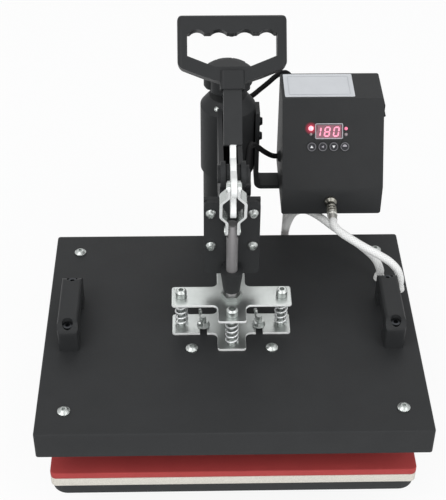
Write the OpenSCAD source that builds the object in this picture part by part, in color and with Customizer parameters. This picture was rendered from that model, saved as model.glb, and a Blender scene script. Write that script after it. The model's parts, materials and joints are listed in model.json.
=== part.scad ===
// Flat heat press: a fixed padded bed, a column with a swinging arm, and a heated
// platen that a toggle lever pushes down through a spring-loaded cross head.
// Millimetres, +Z up, +Y to the back, standing on Z = 0. Pieces are drawn about the ram's
// axis and then moved by at_ram(). Heights of the head are counted from the cover's top.

/* [Lower bed] */
// Width of the pressing pad and of the bed
pad_w = 380; // [330:1:390]
// Depth of the pressing pad and of the bed
pad_d = 290; // [250:1:300]
// Thickness of the red silicone pad
silicone_t = 8.4; // [6:0.2:12]
// Thickness of the white foam layer
foam_t = 11; // [8:0.5:14]
// Thickness of the cast bed plate
bed_t = 11.5; // [10:0.5:16]
// Corner radius of the bed plate
bed_corner_r = 17; // [8:1:24]
// Corner radius of the two pad layers
pad_corner_r = 6.5; // [3:0.5:10]

/* [Base frame] */
// Diameter of a rubber foot at the floor
foot_d = 30; // [24:1:36]
// Height of a rubber foot
foot_h = 15; // [10:0.5:20]
// Width of a side rail
rail_w = 40; // [36:1:50]
// Height of a side rail
rail_h = 40.5; // [34:0.5:46]
// Wall of the rails and of the crossbar
rail_wall = 2.5; // [2:0.1:4]
// Distance between the middles of the side rails
rail_pitch = 280; // [250:1:300]
// Reach of the rails in front of the ram
rail_front = 100; // [90:1:110]
// Reach of the rails behind the column
rail_back = 55; // [52:1:70]
// Depth of the crossbar under the column
crossbar_d = 90; // [84:1:96]
// Step of the crossbar's top below the rails' top
crossbar_drop = 14; // [12:0.5:18]

/* [Column] */
// Distance of the column behind the ram
column_y = 195; // [193:1:205]
// Outside diameter of the column
post_d = 56; // [50:0.5:58]
// Wall of the column
post_wall = 4; // [3:0.5:6]
// Diameter of the column's foot flange
flange_d = 108; // [104:1:109]
// Thickness of the foot flange
flange_t = 8; // [6:0.5:12]
// Thickness of the nylon liner in the sleeve
liner_t = 0.9; // [0.8:0.1:1.5]
// Wall of the swing sleeve
sleeve_wall = 2; // [2:0.1:3.5]
// Height of the sleeve's lower end above the cover
sleeve_low = 73; // [66:1:76]
// Height of the sleeve's shoulder above the cover
sleeve_shoulder = 158; // [156:1:164]
// Height of the cone above the shoulder
cone_h = 13; // [12:0.5:18]
// Inward slope of the cone
cone_in = 10; // [6:0.5:13]
// Diameter of the pressure screw
screw_d = 12; // [10:0.5:14]
// Diameter of the star knob over its lobes
knob_d = 55; // [48:1:62]
// Thickness of the star knob
knob_t = 21; // [14:0.5:24]
// Number of lobes on the star knob
knob_lobes = 8; // [5:1:9]

/* [Heated platen] */
// Width of the cover
cover_w = 400; // [396:1:410]
// Depth of the cover
cover_d = 310; // [306:1:314]
// Height of the cover
cover_h = 32.4; // [30:0.2:38]
// Sheet thickness of the cover
cover_wall = 1.5; // [1:0.1:2]
// Corner radius of the cover
cover_corner_r = 3; // [2:0.5:6]
// Thickness of the heated plate
heater_t = 12; // [9:0.5:14]
// Stand of the heated plate below the cover's edge
heater_proud = 2; // [1:0.5:4]
// Thickness of the flat mica heater
mica_t = 1.2; // [1:0.1:2.5]
// Open gap between the heated plate and the pad at rest
press_gap = 36.2; // [35.6:0.1:42]
// Gap between the heated plate's edge and the cover's wall
plate_gap = 8.5; // [6:0.5:12]
// Distance of the corner screws from the cover's sides
corner_screw_side = 28.5; // [24:0.5:32]
// Distance of the corner screws from the cover's front and back
corner_screw_front = 31; // [25:0.5:40]
// Side distance of the inner screws
inner_screw_x = 42.5; // [38:0.5:50]
// Depth distance of the inner screws
inner_screw_y = 36; // [32:0.5:45]
// Shank diameter of the cover screws
cover_screw_d = 6; // [5:0.5:6.5]

/* [Bridge handles] */
// Distance of each bridge handle's middle from the cover's side
handle_in = 27.5; // [26:0.5:35]
// Place of the handle's middle along the depth
handle_y = 5; // [0:1:8]
// Length of a bridge handle
handle_len = 86; // [84:1:92]
// Width of a bridge handle
handle_w = 22; // [20:0.5:24]
// Height of a bridge handle
handle_h = 36; // [34:0.5:42]
// Thickness of the bar over the fingers
handle_bar = 14; // [12:0.5:16]
// Distance between a handle's screws
handle_pitch = 70; // [68:0.5:72]

/* [Cross head] */
// Width of the cross plates
cross_w = 127; // [124:1:135]
// Depth of the cross plates
cross_d = 80; // [78:1:88]
// Width of the arms of the cross plates
cross_arm = 30; // [28:0.5:34]
// Thickness of the cross plates
cross_t = 3; // [2.5:0.1:4]
// Fillet between the arms
cross_fillet = 6; // [4:0.5:8]
// Height of the gap that holds the springs
spring_gap = 37; // [35:0.5:40]
// Side distance of the outer spring bolts
spring_bolt_x = 53.5; // [50:0.5:55]
// Depth distance of the front and rear spring bolts
spring_bolt_y = 30; // [28:0.5:32]
// Diameter of the spring bolts
spring_bolt_d = 8; // [7:0.5:8.5]
// Outside diameter of the springs
spring_od = 14.4; // [13.5:0.1:16]
// Wire diameter of the springs
spring_wire = 2; // [1.6:0.1:2.2]
// Number of turns in a spring
spring_turns = 5; // [4:0.5:7]
// Side distance of the hanging studs
stud_x = 30; // [28:0.5:32]
// Diameter of the hanging studs
stud_d = 6; // [5:0.5:7]

/* [Toggle] */
// Height of the lever's pivot above the cover
pivot_h = 203.5; // [202:0.5:208]
// Distance from the lever's pivot to the fork's upper pin
crank_r = 28.5; // [27:0.5:29]
// Rest angle of the crank, from straight down towards the front
crank_rest = 100; // [98:1:102]
// Turn of the lever from open to closed
lever_turn = 85; // [80:1:86]
// Rest height of the ram's upper eye above the cover
ram_eye_h = 133; // [132.5:0.5:136]
// Diameter of the ram rod
rod_d = 12; // [11:0.5:13]
// Thickness of the crank plate
crank_t = 6; // [5:0.5:6.4]
// Diameter of the lever's pivot pin
pivot_d = 12; // [10:0.5:13]
// Diameter of the fork's pins
fork_pin_d = 6; // [5:0.5:6.5]
// Thickness of the fork's straps
fork_t = 3; // [2.5:0.1:3.2]

/* [Arm] */
// Gap between the arm's side plates
arm_gap = 15; // [14.5:0.5:18]
// Thickness of the arm's side plates
arm_plate_t = 5; // [4:0.5:6]
// Height of the arm's lower edge at the front
arm_low = 86; // [82:1:90]
// Height of the arm's upper edge
arm_top = 170; // [169:0.5:172]
// Radius of the ears round the lever's pivot
ear_r = 13; // [11:0.5:14]
// Width of the guide plate
guide_w = 58; // [56:1:64]
// Thickness of the guide plate and of the flange behind it
guide_t = 5; // [4:0.5:6]
// Distance of the guide plate behind the ram's axis
guide_y = 12; // [12:0.1:14]
// Height of the guide plate's lower edge
guide_low = 64; // [60:0.5:66]
// Side distance of the guide bolts
guide_bolt_x = 21.8; // [21.5:0.1:22.5]
// Height of the lower guide bolts
guide_bolt_low = 103; // [98:1:106]
// Height between the lower and the upper guide bolts
guide_bolt_pitch = 42.5; // [40:0.5:46]
// Diameter of the guide bush
bush_d = 24; // [22:0.5:24.5]
// Height of the guide bush's lower end
bush_low = 53; // [52.5:0.5:55]
// Length of the guide bush
bush_h = 27; // [22:0.5:27.5]

/* [Lever and grip] */
// Backward lean of the open lever
lever_lean = 40; // [38:1:44]
// Side of the square stem
stem_w = 18; // [16:0.5:18]
// Wall of the stem
stem_wall = 1.5; // [1.2:0.1:2]
// Distance of the stem's lower end from the pivot
stem_low = 28; // [26:0.5:32]
// Width of the grip
grip_w = 107; // [100:1:115]
// Distance of the grip's top from the pivot
grip_top = 154.5; // [150:0.5:160]
// Height of the grip with its hub
grip_h = 72.5; // [68:0.5:76]
// Front-to-back thickness of the grip
grip_t = 19; // [18:0.5:22]
// Thickness of the grip's side bars
grip_side = 9.6; // [8:0.2:11]
// Thickness of the grip's top bar at the finger bumps
grip_bar = 17.8; // [16:0.2:20]
// Depth of the finger grooves
groove_depth = 3.5; // [2:0.5:5]

/* [Control box] */
// Width of the control box
box_w = 113; // [110:1:118]
// Distance of the box's left wall from the column
box_x = 60; // [58:1:64]
// Distance of the box's lower front from the ram
box_front = 128; // [124:1:130]
// Distance of the box's back from the ram
box_back = 230; // [228:1:236]
// Height of the box's bottom above the cover
box_low = 52; // [50:1:56]
// Height of the upright lower face
box_kick = 37; // [35:1:40]
// Height of the box's top above the cover
box_top = 175; // [173:1:180]
// Depth of the box's flat top
box_roof = 52; // [48:1:56]
// Sheet thickness of the box
box_wall = 1.6; // [1.2:0.1:2]
// Diameter of a push button
button_d = 10; // [9:0.5:10.5]
// Distance between push buttons
button_pitch = 12.3; // [12.2:0.1:13]
// Stand of a push button above the panel
button_proud = 1.4; // [1.2:0.1:2]
// Travel of a push button
button_travel = 0.6; // [0.4:0.1:0.8]
// Width of the display window
window_w = 32; // [30:0.5:36]
// Height of the display window
window_h = 18; // [16:0.5:19]
// Width of the flat bar that carries the box
bracket_w = 25; // [22:1:26]
// Thickness of the flat bar
bracket_t = 5; // [4:0.5:6]

/* [Leads] */
// Diameter of the white sleeved leads
lead_d = 9; // [8:0.5:9.5]
// Diameter of the black leads
thin_lead_d = 6; // [5:0.5:6.5]

/* [Hidden] */
$fn = 64;
steel = "silver";
zinc = "gainsboro";
black = "#202022";
soft_black = "#2a2a2c";

// Clearances: close is for pieces fixed in each other, run for shafts that turn or slide,
// and seat for faces of different moving pieces that lie on each other.
close = 0.05;
run = 0.05;
seat = 0.25;

// Heights
bed_z = foot_h + rail_h;
foam_z = bed_z + bed_t;
silicone_z = foam_z + foam_t;
pad_top = silicone_z + silicone_t;
heater_z = pad_top + press_gap;
cover_z = heater_z + heater_proud;
cover_top = cover_z + cover_h;
pivot_z = cover_top + pivot_h;
ram_eye_z = cover_top + ram_eye_h;
function head(h) = cover_top + h;

// Toggle: the crank turns about A, the fork joins its pin B to the ram's eye C
crank_closed = crank_rest - lever_turn;
function crank_b(a) = [-crank_r * sin(a), pivot_z - crank_r * cos(a)];
b_rest = crank_b(crank_rest);
b_closed = crank_b(crank_closed);
fork_len = norm([b_rest[0], b_rest[1] - ram_eye_z]);
fork_lean = asin(-b_rest[0] / fork_len);
fork_lean_closed = asin(-b_closed[0] / fork_len);
ram_travel = ram_eye_z - (b_closed[1] - fork_len * cos(fork_lean_closed));
spring_squeeze = 3;
platen_travel = ram_travel - spring_squeeze;
crank_slot_len = 8.2;
crank_slot_w = fork_pin_d + 4.4;
crank_tail = 44;
fork_in = crank_t / 2 + 0.4;
fork_swell = 7.3;
fork_eye_r = 8;
fork_foot_r = 6;
tenon_w = 8.4;

// Column and sleeve
crossbar_z = bed_z - crossbar_drop;
post_base = crossbar_z + flange_t;
post_top = head(sleeve_shoulder - 8);
sleeve_in = post_d / 2 + run + liner_t + close;
sleeve_r = sleeve_in + sleeve_wall;
sleeve_roof = head(sleeve_shoulder + 2);
sleeve_top = head(sleeve_shoulder + cone_h);
post_weld = 4;
flange_nut = 16;
flange_bolt_r = post_d / 2 + post_weld + flange_nut / 2 / cos(30) + 0.3;
flange_bolt_d = 10;
knob_z = sleeve_top + 12.5;

// Arm
guide_top = pivot_h - crank_tail - 0.5;
flange_y = guide_y + guide_t;
arm_y = flange_y + guide_t;
plate_in = arm_gap / 2;
plate_out = plate_in + arm_plate_t;
guide_bolt_d = 6;
bracket_x = sleeve_r;
bracket_screw_low = 114;
bracket_screw_pitch = 20;
bracket_screw_d = 6;

// Platen
cover_in = cover_top - cover_wall;
plate_w = cover_w - 2 * (cover_wall + plate_gap);
plate_d = cover_d - 2 * (cover_wall + plate_gap);
corner_screw_x = cover_w / 2 - corner_screw_side;
corner_screw_y = cover_d / 2 - corner_screw_front;
handle_x = cover_w / 2 - handle_in;
mica_z = heater_z + heater_t;
insulation_z = mica_z + mica_t;
cross_low_z = cover_top;
cross_top_z = cover_top + cross_t + spring_gap;
stud_y = -2;
slot_w = stud_d + 1.5;
gland_d = lead_d + 5;
plug_gland = [cover_w / 2 - 10, 56];
heater_gland = [cover_w / 2 - 30, 75];
gland_h = 5;

// Control box panel: its own x, y and z run along the width, up the slope and outward
panel_low = head(box_low + box_kick);
panel_rise = box_top - box_low - box_kick;
panel_run = box_back - box_roof - box_front;
panel_tilt = atan(panel_run / panel_rise);
panel_len = norm([panel_run, panel_rise]);
box_mid = box_x + box_w / 2;
box_edge_r = 3;
switch_gland = [box_x, 177, head(98)];
switch_gland_h = 3;
button_y = 46;
button_flange = 0.9;
window_lip = 1.4;
window_gap = 0.3;
window_y = button_y + button_d / 2 + button_flange + window_gap + window_lip + window_h / 2;
window_x = -5.5;
button_x0 = window_x - 1.5 * button_pitch;
led_sizes = [5, 3, 3];
board_gap = 8;
socket_x = box_mid - 1.5;
socket_z = head(box_low + 18);
socket_d = 14;
socket_out = 9;
plug_len = 26;
rocker_w = 14;
rocker_l = 22;
rocker_y = box_back - box_roof + 14;
rocker_z = head(box_top - 24);
rocker_tilt = 7;
box_gland_x = box_x + 14;
box_gland_y = box_back - 13;
mains_gland_x = box_x + 30;
mains_gland_z = head(box_low + 24);
mains_gland_d = 15;

// Bed and base
bed_bolt_d = 8;
bed_bolt_y = [-70, 70];
bed_bolt_in = 7;
foot_inset = 20;

// Screws of the bridge handles
handle_screw_d = 6;
handle_seat = handle_h - 10;
handle_screw_in = 8;

// Grip
groove_r = 11;
groove_mid = 12.8;
groove_out = 34.4;
bump_r = 7;
grip_low = grip_top - grip_h;
grip_knee = grip_low + 22;
hub_w = stem_w + 6;
hub_h = 18;
stem_top = grip_low + 12;
plug_w = stem_w - 2 * stem_wall - 2 * close;

// Limit switch
switch_size = [7, 28, 13];
switch_at = [plate_out, 30, head(arm_top - 16)];

// The ram stands in front of the middle of the whole press
ram_y = -(column_y + rail_back - cover_d / 2) / 2;

// Shapes that several pieces share

// Moves a piece drawn about the ram's axis to its place in the press
module at_ram() {
    translate([0, ram_y, 0]) children();
}

module rounded_rect(w, d, r) {
    square([w - 2 * r, d], center = true);
    square([w, d - 2 * r], center = true);
    for (x = [-1, 1], y = [-1, 1])
        translate([x * (w / 2 - r), y * (d / 2 - r)]) circle(r);
}

module slab(w, d, h, r) {
    linear_extrude(h) rounded_rect(w, d, r);
}

// Lays a drawing of (Y, Z) points on the plane X = x and thickens it along +X
module side_plate(x, t) {
    translate([x, 0, 0]) rotate([90, 0, 90]) linear_extrude(t) children();
}

// Stands a piece along +X, centred on its own length
module along_x(len) {
    rotate([0, 90, 0]) translate([0, 0, -len / 2]) children();
}

module hex_head(across, h) {
    cylinder(d = across / cos(30), h = h, $fn = 6);
}

// Hollow for a hexagon key, from the top of a screw's head downwards
module key_socket(across, depth) {
    translate([0, 0, -depth]) hex_head(across, depth + 1);
}

module at_corners(x, y) {
    for (sx = [-1, 1], sy = [-1, 1]) translate([sx * x, sy * y, 0]) children();
}

// Unbroken tube through a list of points, with triangle faces and flat ends
function unit(v) = v / norm(v);
function route_tangents(p) = [
    for (i = [0:len(p) - 1]) unit(p[min(i + 1, len(p) - 1)] - p[max(i - 1, 0)])
];
function across(n, t) = unit(n - (n * t) * t);
function route_normals(t, n, i = 0) =
    i == len(t) ? [] : let (m = across(n, t[i])) concat([m], route_normals(t, m, i + 1));
module tube_along(p, d, sides, first_normal) {
    tangents = route_tangents(p);
    normals = route_normals(tangents, first_normal);
    rings = len(p);
    points = [
        for (i = [0:rings - 1], k = [0:sides - 1])
            let (a = 360 * k / sides, n = normals[i], b = cross(tangents[i], n))
            p[i] + d / 2 * (cos(a) * n + sin(a) * b)
    ];
    walls = [
        for (i = [0:rings - 2], k = [0:sides - 1], half = [0, 1])
            let (j = (k + 1) % sides, q = i * sides, u = q + sides)
            half == 0 ? [q + k, u + k, u + j] : [q + k, u + j, q + j]
    ];
    last = (rings - 1) * sides;
    start_cap = [for (k = [1:sides - 2]) [0, k, k + 1]];
    end_cap = [for (k = [1:sides - 2]) [last, last + k + 1, last + k]];
    polyhedron(points, concat(walls, start_cap, end_cap));
}

// Base frame and bed

module rail(side) {
    len = rail_front + column_y + rail_back;
    x = side * rail_pitch / 2;
    color(black) difference() {
        translate([x - rail_w / 2, -rail_front, foot_h]) cube([rail_w, len, rail_h]);
        translate([x - rail_w / 2 + rail_wall, rail_wall - rail_front, foot_h + rail_wall])
            cube([rail_w - 2 * rail_wall, len - 2 * rail_wall, rail_h - 2 * rail_wall]);
        for (y = bed_bolt_y)
            translate([x, y, bed_z - 2 * rail_wall]) cylinder(d = bed_bolt_d + 2 * close, h = 4 * rail_wall);
    }
}

module rear_crossbar() {
    len = rail_pitch - rail_w;
    bar_h = rail_h - crossbar_drop;
    color(black) difference() {
        translate([-len / 2, column_y - crossbar_d / 2, foot_h]) cube([len, crossbar_d, bar_h]);
        translate([rail_wall - len / 2, column_y - crossbar_d / 2 + rail_wall, foot_h + rail_wall])
            cube([len - 2 * rail_wall, crossbar_d - 2 * rail_wall, bar_h - 2 * rail_wall]);
        flange_bolt_places() translate([0, 0, crossbar_z - 2 * rail_wall])
            cylinder(d = flange_bolt_d + 2 * close, h = 4 * rail_wall);
    }
}

module flange_bolt_places() {
    offset_xy = flange_bolt_r * cos(45);
    translate([0, column_y, 0]) at_corners(offset_xy, offset_xy) children();
}

module feet() {
    color(soft_black)
        for (x = [-1, 1], y = [foot_inset - rail_front, column_y + rail_back - foot_inset])
            translate([x * rail_pitch / 2, y, 0]) cylinder(d1 = foot_d, d2 = foot_d - 6, h = foot_h);
}

module bed_plate() {
    color(black) difference() {
        translate([0, 0, bed_z]) slab(pad_w, pad_d, bed_t, bed_corner_r);
        for (x = [-1, 1], y = bed_bolt_y)
            translate([x * rail_pitch / 2, y, bed_z - 1])
                cylinder(d = bed_bolt_d + 2 * close, h = bed_bolt_in + 1.5);
    }
}

module base_bolts() {
    color(zinc) {
        for (x = [-1, 1], y = bed_bolt_y)
            translate([x * rail_pitch / 2, y, bed_z - rail_wall]) {
                cylinder(d = bed_bolt_d, h = rail_wall + bed_bolt_in);
                translate([0, 0, -5.3]) hex_head(13, 5.3);
            }
        flange_bolt_places() translate([0, 0, crossbar_z - rail_wall]) {
            cylinder(d = flange_bolt_d, h = rail_wall + flange_t);
            translate([0, 0, -8]) hex_head(flange_nut, 8);
            translate([0, 0, rail_wall + flange_t]) hex_head(flange_nut, 6.4);
        }
    }
}

module foam_layer() {
    color("whitesmoke") translate([0, 0, foam_z]) slab(pad_w, pad_d, foam_t, pad_corner_r);
}

module silicone_pad() {
    color("#c03028") translate([0, 0, silicone_z]) slab(pad_w, pad_d, silicone_t, pad_corner_r);
}

module column_flange() {
    color(black) difference() {
        translate([0, column_y, crossbar_z]) cylinder(d = flange_d, h = flange_t);
        flange_bolt_places() translate([0, 0, crossbar_z - 1])
            cylinder(d = flange_bolt_d + 2 * close, h = flange_t + 2);
    }
}

module column_post() {
    post_cap = 6;
    color(soft_black) translate([0, column_y, 0]) rotate_extrude() polygon([
        [post_d / 2 - post_wall, post_base],
        [post_d / 2 + post_weld, post_base],
        [post_d / 2, post_base + post_weld],
        [post_d / 2, post_top - 2],
        [post_d / 2 - 2, post_top],
        [0, post_top],
        [0, post_top - post_cap],
        [post_d / 2 - post_wall, post_top - post_cap]
    ]);
}

// Swing sleeve, arm and ram guide

module swing_sleeve() {
    bore = screw_d / 2 + run;
    color(black) difference() {
        translate([0, column_y, 0]) rotate_extrude() polygon([
            [sleeve_in, head(sleeve_low)],
            [sleeve_r, head(sleeve_low)],
            [sleeve_r, head(sleeve_shoulder)],
            [sleeve_r - cone_in, sleeve_top],
            [bore, sleeve_top],
            [bore, sleeve_roof],
            [sleeve_in, sleeve_roof]
        ]);
        bracket_screw_places(sleeve_wall + 0.1)
            cylinder(d = bracket_screw_d + 2 * close, h = 20, center = true);
    }
}

module sleeve_liner() {
    color("ivory") translate([0, column_y, head(sleeve_low)]) difference() {
        cylinder(r = sleeve_in - close, h = post_top - 3 - head(sleeve_low));
        translate([0, 0, -1]) cylinder(r = post_d / 2 + run, h = post_top - head(sleeve_low) + 2);
    }
}

// Places the bracket's screws, which point towards the column
module bracket_screw_places(depth) {
    for (i = [0, 1])
        translate([bracket_x - depth, column_y, head(bracket_screw_low + i * bracket_screw_pitch)])
            rotate([0, 90, 0]) children();
}

module guide_bolt_places() {
    for (x = [-1, 1], i = [0, 1])
        translate([x * guide_bolt_x, 0, head(guide_bolt_low + i * guide_bolt_pitch)])
            rotate([-90, 0, 0]) children();
}

module arm_outline() {
    polygon([
        [column_y, head(sleeve_low + 10)],
        [arm_y, head(arm_low)],
        [arm_y, head(arm_top - 2)],
        [2, pivot_z - ear_r + 0.3],
        [8, pivot_z + ear_r - 3],
        [58, head(arm_top)],
        [column_y, head(arm_top)]
    ]);
    translate([0, pivot_z]) circle(ear_r);
}

module arm_frame() {
    color(black) difference() {
        union() {
            for (side = [-1, 1])
                side_plate(side > 0 ? plate_in : -plate_out, arm_plate_t) arm_outline();
            translate([-guide_w / 2, flange_y, head(arm_low)])
                cube([guide_w, guide_t, guide_top - arm_low]);
        }
        translate([0, column_y, 0]) cylinder(r = sleeve_r + 0.02, h = 1000);
        translate([0, 0, pivot_z]) along_x(60) cylinder(d = pivot_d + 2 * close, h = 60);
        guide_bolt_places() cylinder(d = guide_bolt_d + 2 * close, h = 60);
    }
}

module guide_plate() {
    r = 6;
    color(black) difference() {
        translate([0, flange_y, 0]) rotate([90, 0, 0]) linear_extrude(guide_t)
            translate([0, head(guide_low) + (guide_top - guide_low) / 2])
                rounded_rect(guide_w, guide_top - guide_low, r);
        guide_bolt_places() cylinder(d = guide_bolt_d + 2 * close, h = 60);
    }
}

module guide_bush() {
    pad = 9;
    color(black) translate([0, 0, head(bush_low)]) difference() {
        union() {
            cylinder(d1 = bush_d - 6, d2 = bush_d, h = bush_h);
            translate([-pad, 0, 0]) cube([2 * pad, guide_y, bush_h]);
        }
        translate([0, 0, -1]) cylinder(d = rod_d + 2 * run, h = bush_h + 2);
    }
}

module arm_bolts() {
    head_d = guide_bolt_d + 4.5;
    rim = 1.5;
    dome = 3.5;
    color(zinc) {
        guide_bolt_places() difference() {
            union() {
                translate([0, 0, guide_y - rim - dome]) cylinder(d1 = head_d - 4, d2 = head_d, h = dome);
                translate([0, 0, guide_y - rim]) cylinder(d = head_d, h = rim);
                translate([0, 0, guide_y]) cylinder(d = guide_bolt_d, h = 2 * guide_t);
                translate([0, 0, guide_y + 2 * guide_t]) hex_head(guide_bolt_d + 4, 5);
            }
            translate([0, 0, guide_y - rim - dome]) rotate([180, 0, 0]) key_socket(4, 2.5);
        }
        bracket_screw_places(sleeve_wall) difference() {
            union() {
                cylinder(d = bracket_screw_d, h = sleeve_wall + bracket_t);
                translate([0, 0, sleeve_wall + bracket_t]) cylinder(d1 = 11, d2 = 8, h = 3.5);
            }
            translate([0, 0, sleeve_wall + bracket_t + 3.5]) key_socket(4, 2);
        }
    }
}

module lever_pin() {
    cap = 3;
    color(zinc) translate([0, 0, pivot_z]) {
        along_x(2 * plate_out) cylinder(d = pivot_d, h = 2 * plate_out);
        for (side = [-1, 1]) translate([side * (plate_out + cap / 2), 0, 0])
            along_x(cap) cylinder(d = pivot_d + 6, h = cap);
    }
}

// Flat bar bent once: an upright leg on the sleeve and a level leg under the box
module box_bracket() {
    leg_top = sleeve_shoulder - 6;
    foot_z = head(box_low);
    foot_end = box_x + box_w - 30;
    bend = bracket_t + 4;
    color(black) difference() {
        translate([0, column_y + bracket_w / 2, 0]) rotate([90, 0, 0]) linear_extrude(bracket_w) {
            translate([bracket_x, foot_z - bracket_t + bend])
                square([bracket_t, head(leg_top) - foot_z + bracket_t - bend]);
            translate([bracket_x + bend, foot_z - bracket_t])
                square([foot_end - bracket_x - bend, bracket_t]);
            translate([bracket_x + bend, foot_z - bracket_t + bend]) difference() {
                circle(bend);
                circle(bend - bracket_t);
                translate([-2 * bend, 0]) square(4 * bend);
                translate([0, -2 * bend]) square(4 * bend);
            }
        }
        bracket_screw_places(1) cylinder(d = bracket_screw_d + 2 * close, h = 20);
    }
}

module limit_switch() {
    color(soft_black) translate(switch_at) {
        cube(switch_size);
        translate([1.5, -3, 4]) cube([4, 3, 5]);
    }
}

// Lead from the limit switch along the arm's right side to the box's left wall
switch_route = [
    switch_at + [3.5, switch_size[1], 6],
    switch_at + [3.5, switch_size[1] + 8, 6],
    [plate_out + 5.5, 82, head(arm_top - 9)], [plate_out + 7.5, 100, head(arm_top - 9)],
    [plate_out + 10.5, 120, head(arm_top - 16)], [plate_out + 14.5, 138, head(arm_top - 29)],
    switch_gland + [-27, -25, 30], switch_gland + [-20, -14.5, 17], switch_gland + [-15, -7, 8.5],
    switch_gland + [-10.5, -2, 2.5],
    switch_gland - [switch_gland_h + 3.5, 0, 0], switch_gland - [switch_gland_h, 0, 0]
];
module switch_lead() {
    color(black) tube_along(switch_route, thin_lead_d, 8, [0, 0, 1]);
}

// Lead from the box's back round to the back of the sleeve
earth_seat = (sleeve_r + 0.15) * cos(45);
earth_route = [
    [box_x + 17, box_back, head(158)], [box_x + 17, box_back + 6, head(158)],
    [box_x + 15, box_back + 12, head(161)], [box_x + 8, box_back + 16, head(166.5)],
    [box_x - 2, box_back + 15, head(163.5)], [box_x - 12, box_back + 10, head(157)],
    [box_x - 22, box_back + 4, head(151.5)], [earth_seat + 8, column_y + earth_seat + 8, head(150)],
    [earth_seat + 3, column_y + earth_seat + 3, head(150)], [earth_seat, column_y + earth_seat, head(150)]
];
module earth_lead() {
    color(black) tube_along(earth_route, thin_lead_d, 8, [0, 0, 1]);
}

// Control box

module box_outline(inset) {
    roof = box_back - box_roof;
    slope = inset * tan((90 - panel_tilt) / 2);
    kink = inset * tan(panel_tilt / 2);
    polygon([
        [box_front + inset, head(box_low) + inset],
        [box_front + inset, panel_low - kink],
        [roof + slope, head(box_top) - inset],
        [box_back + (inset > 0 ? 1 : 0), head(box_top) - inset],
        [box_back + (inset > 0 ? 1 : 0), head(box_low) + inset]
    ]);
}

module on_panel(x, y) {
    translate([box_mid, box_front, panel_low])
        rotate([90 - panel_tilt, 0, 0]) translate([x, y, 0]) children();
}

module button_place(i) {
    on_panel(button_x0 + i * button_pitch, button_y) children();
}

led_x = window_x + window_w / 2 + window_lip + led_sizes[1] / 2 + 0.5;
led_places = [[button_x0 - 2, window_y + 3], [led_x, window_y + 3], [led_x, window_y - 3.5]];

// Box with its four long edges rounded, made smaller on all sides by inset
module box_solid(inset) {
    intersection() {
        side_plate(box_x + inset, box_w - 2 * inset) box_outline(inset);
        translate([box_mid, box_back + 5, head((box_low + box_top) / 2)]) rotate([90, 0, 0])
            linear_extrude(box_back - box_front + 10)
                rounded_rect(box_w - 2 * inset, box_top - box_low - 2 * inset, box_edge_r - inset);
    }
}

module control_box_shell() {
    color(black) difference() {
        union() {
            box_solid(0);
            translate(switch_gland - [switch_gland_h, 0, 0]) rotate([0, 90, 0])
                cylinder(d1 = thin_lead_d + 4.5, d2 = thin_lead_d + 8.5, h = switch_gland_h);
        }
        box_solid(box_wall);
        for (i = [0:3]) button_place(i) cylinder(d = button_d + 0.6, h = 10, center = true);
        on_panel(window_x, window_y) cube([window_w, window_h, 10], center = true);
        for (i = [0:2]) on_panel(led_places[i][0], led_places[i][1])
            cylinder(d = led_sizes[i], h = 10, center = true);
        translate([socket_x, box_front + 5, socket_z]) rotate([90, 0, 0]) cylinder(d = socket_d - 3, h = 10);
        translate([box_x + box_w - 5, rocker_y - rocker_w / 2 + 1, rocker_z - rocker_l / 2 + 1])
            cube([10, rocker_w - 2, rocker_l - 2]);
        translate([box_gland_x, box_gland_y, head(box_low) - 5]) cylinder(d = lead_d + 2, h = 10);
    }
}

module control_box_back() {
    y = box_back - box_wall;
    color(black) difference() {
        translate([box_mid, box_back, head((box_low + box_top) / 2)]) rotate([90, 0, 0])
            slab(box_w - 2 * box_wall, box_top - box_low - 2 * box_wall, box_wall, box_edge_r);
        translate([mains_gland_x, y - 5, mains_gland_z]) rotate([-90, 0, 0])
            cylinder(d = mains_gland_d - 4 + 2 * close, h = 10);
        for (i = [0:7])
            translate([box_mid + 4, y - 5, head(box_low + 50 + 6 * i)]) cube([36, 10, 2.5]);
    }
}

module mains_gland() {
    color(soft_black) translate([mains_gland_x, box_back, mains_gland_z]) rotate([-90, 0, 0]) {
        cylinder(d = mains_gland_d, h = 3);
        translate([0, 0, 3]) cylinder(d1 = mains_gland_d - 2, d2 = mains_gland_d - 5, h = 9);
        translate([0, 0, -box_wall - 4]) cylinder(d = mains_gland_d - 4, h = box_wall + 4.5);
    }
}

rocker_pivot = [box_x + box_w + 0.5, rocker_y, rocker_z];
rocker_r = rocker_l / 2 - 2.7;

module switch_body() {
    rim = 2.5;
    wall = 2.4;
    color(soft_black) translate([box_x + box_w, rocker_y, rocker_z]) difference() {
        union() {
            translate([0, -rocker_w / 2, -rocker_l / 2]) cube([rim, rocker_w, rocker_l]);
            translate([-18, -rocker_w / 2 + 1.1, -rocker_l / 2 + 1.1])
                cube([18, rocker_w - 2.2, rocker_l - 2.2]);
        }
        translate([-9, wall - rocker_w / 2, wall - rocker_l / 2])
            cube([20, rocker_w - 2 * wall, rocker_l - 2 * wall]);
    }
}

// Rocker with a hollowed face, tipped in at its upper end
module power_rocker() {
    w = rocker_w - 5.3;
    color(black) translate(rocker_pivot) rotate([0, -rocker_tilt, 0]) rotate([90, 0, 0])
        linear_extrude(w, center = true) difference() {
            circle(rocker_r);
            polygon([[3.2, 0], [4.4, rocker_r], [4.4, 2 * rocker_r], [20, 2 * rocker_r],
                [20, -2 * rocker_r], [4.4, -2 * rocker_r], [4.4, -rocker_r]]);
        }
}

module display_window() {
    lip_w = window_w + 2 * window_lip;
    lip_h = window_h + 2 * window_lip;
    color("#401014") on_panel(window_x, window_y) {
        translate([-window_w / 2 + 0.1, -window_h / 2 + 0.1, -box_wall])
            cube([window_w - 0.2, window_h - 0.2, box_wall]);
        translate([-lip_w / 2, -lip_h / 2, -box_wall - 1.2]) cube([lip_w, lip_h, 1.2]);
    }
}

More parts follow.
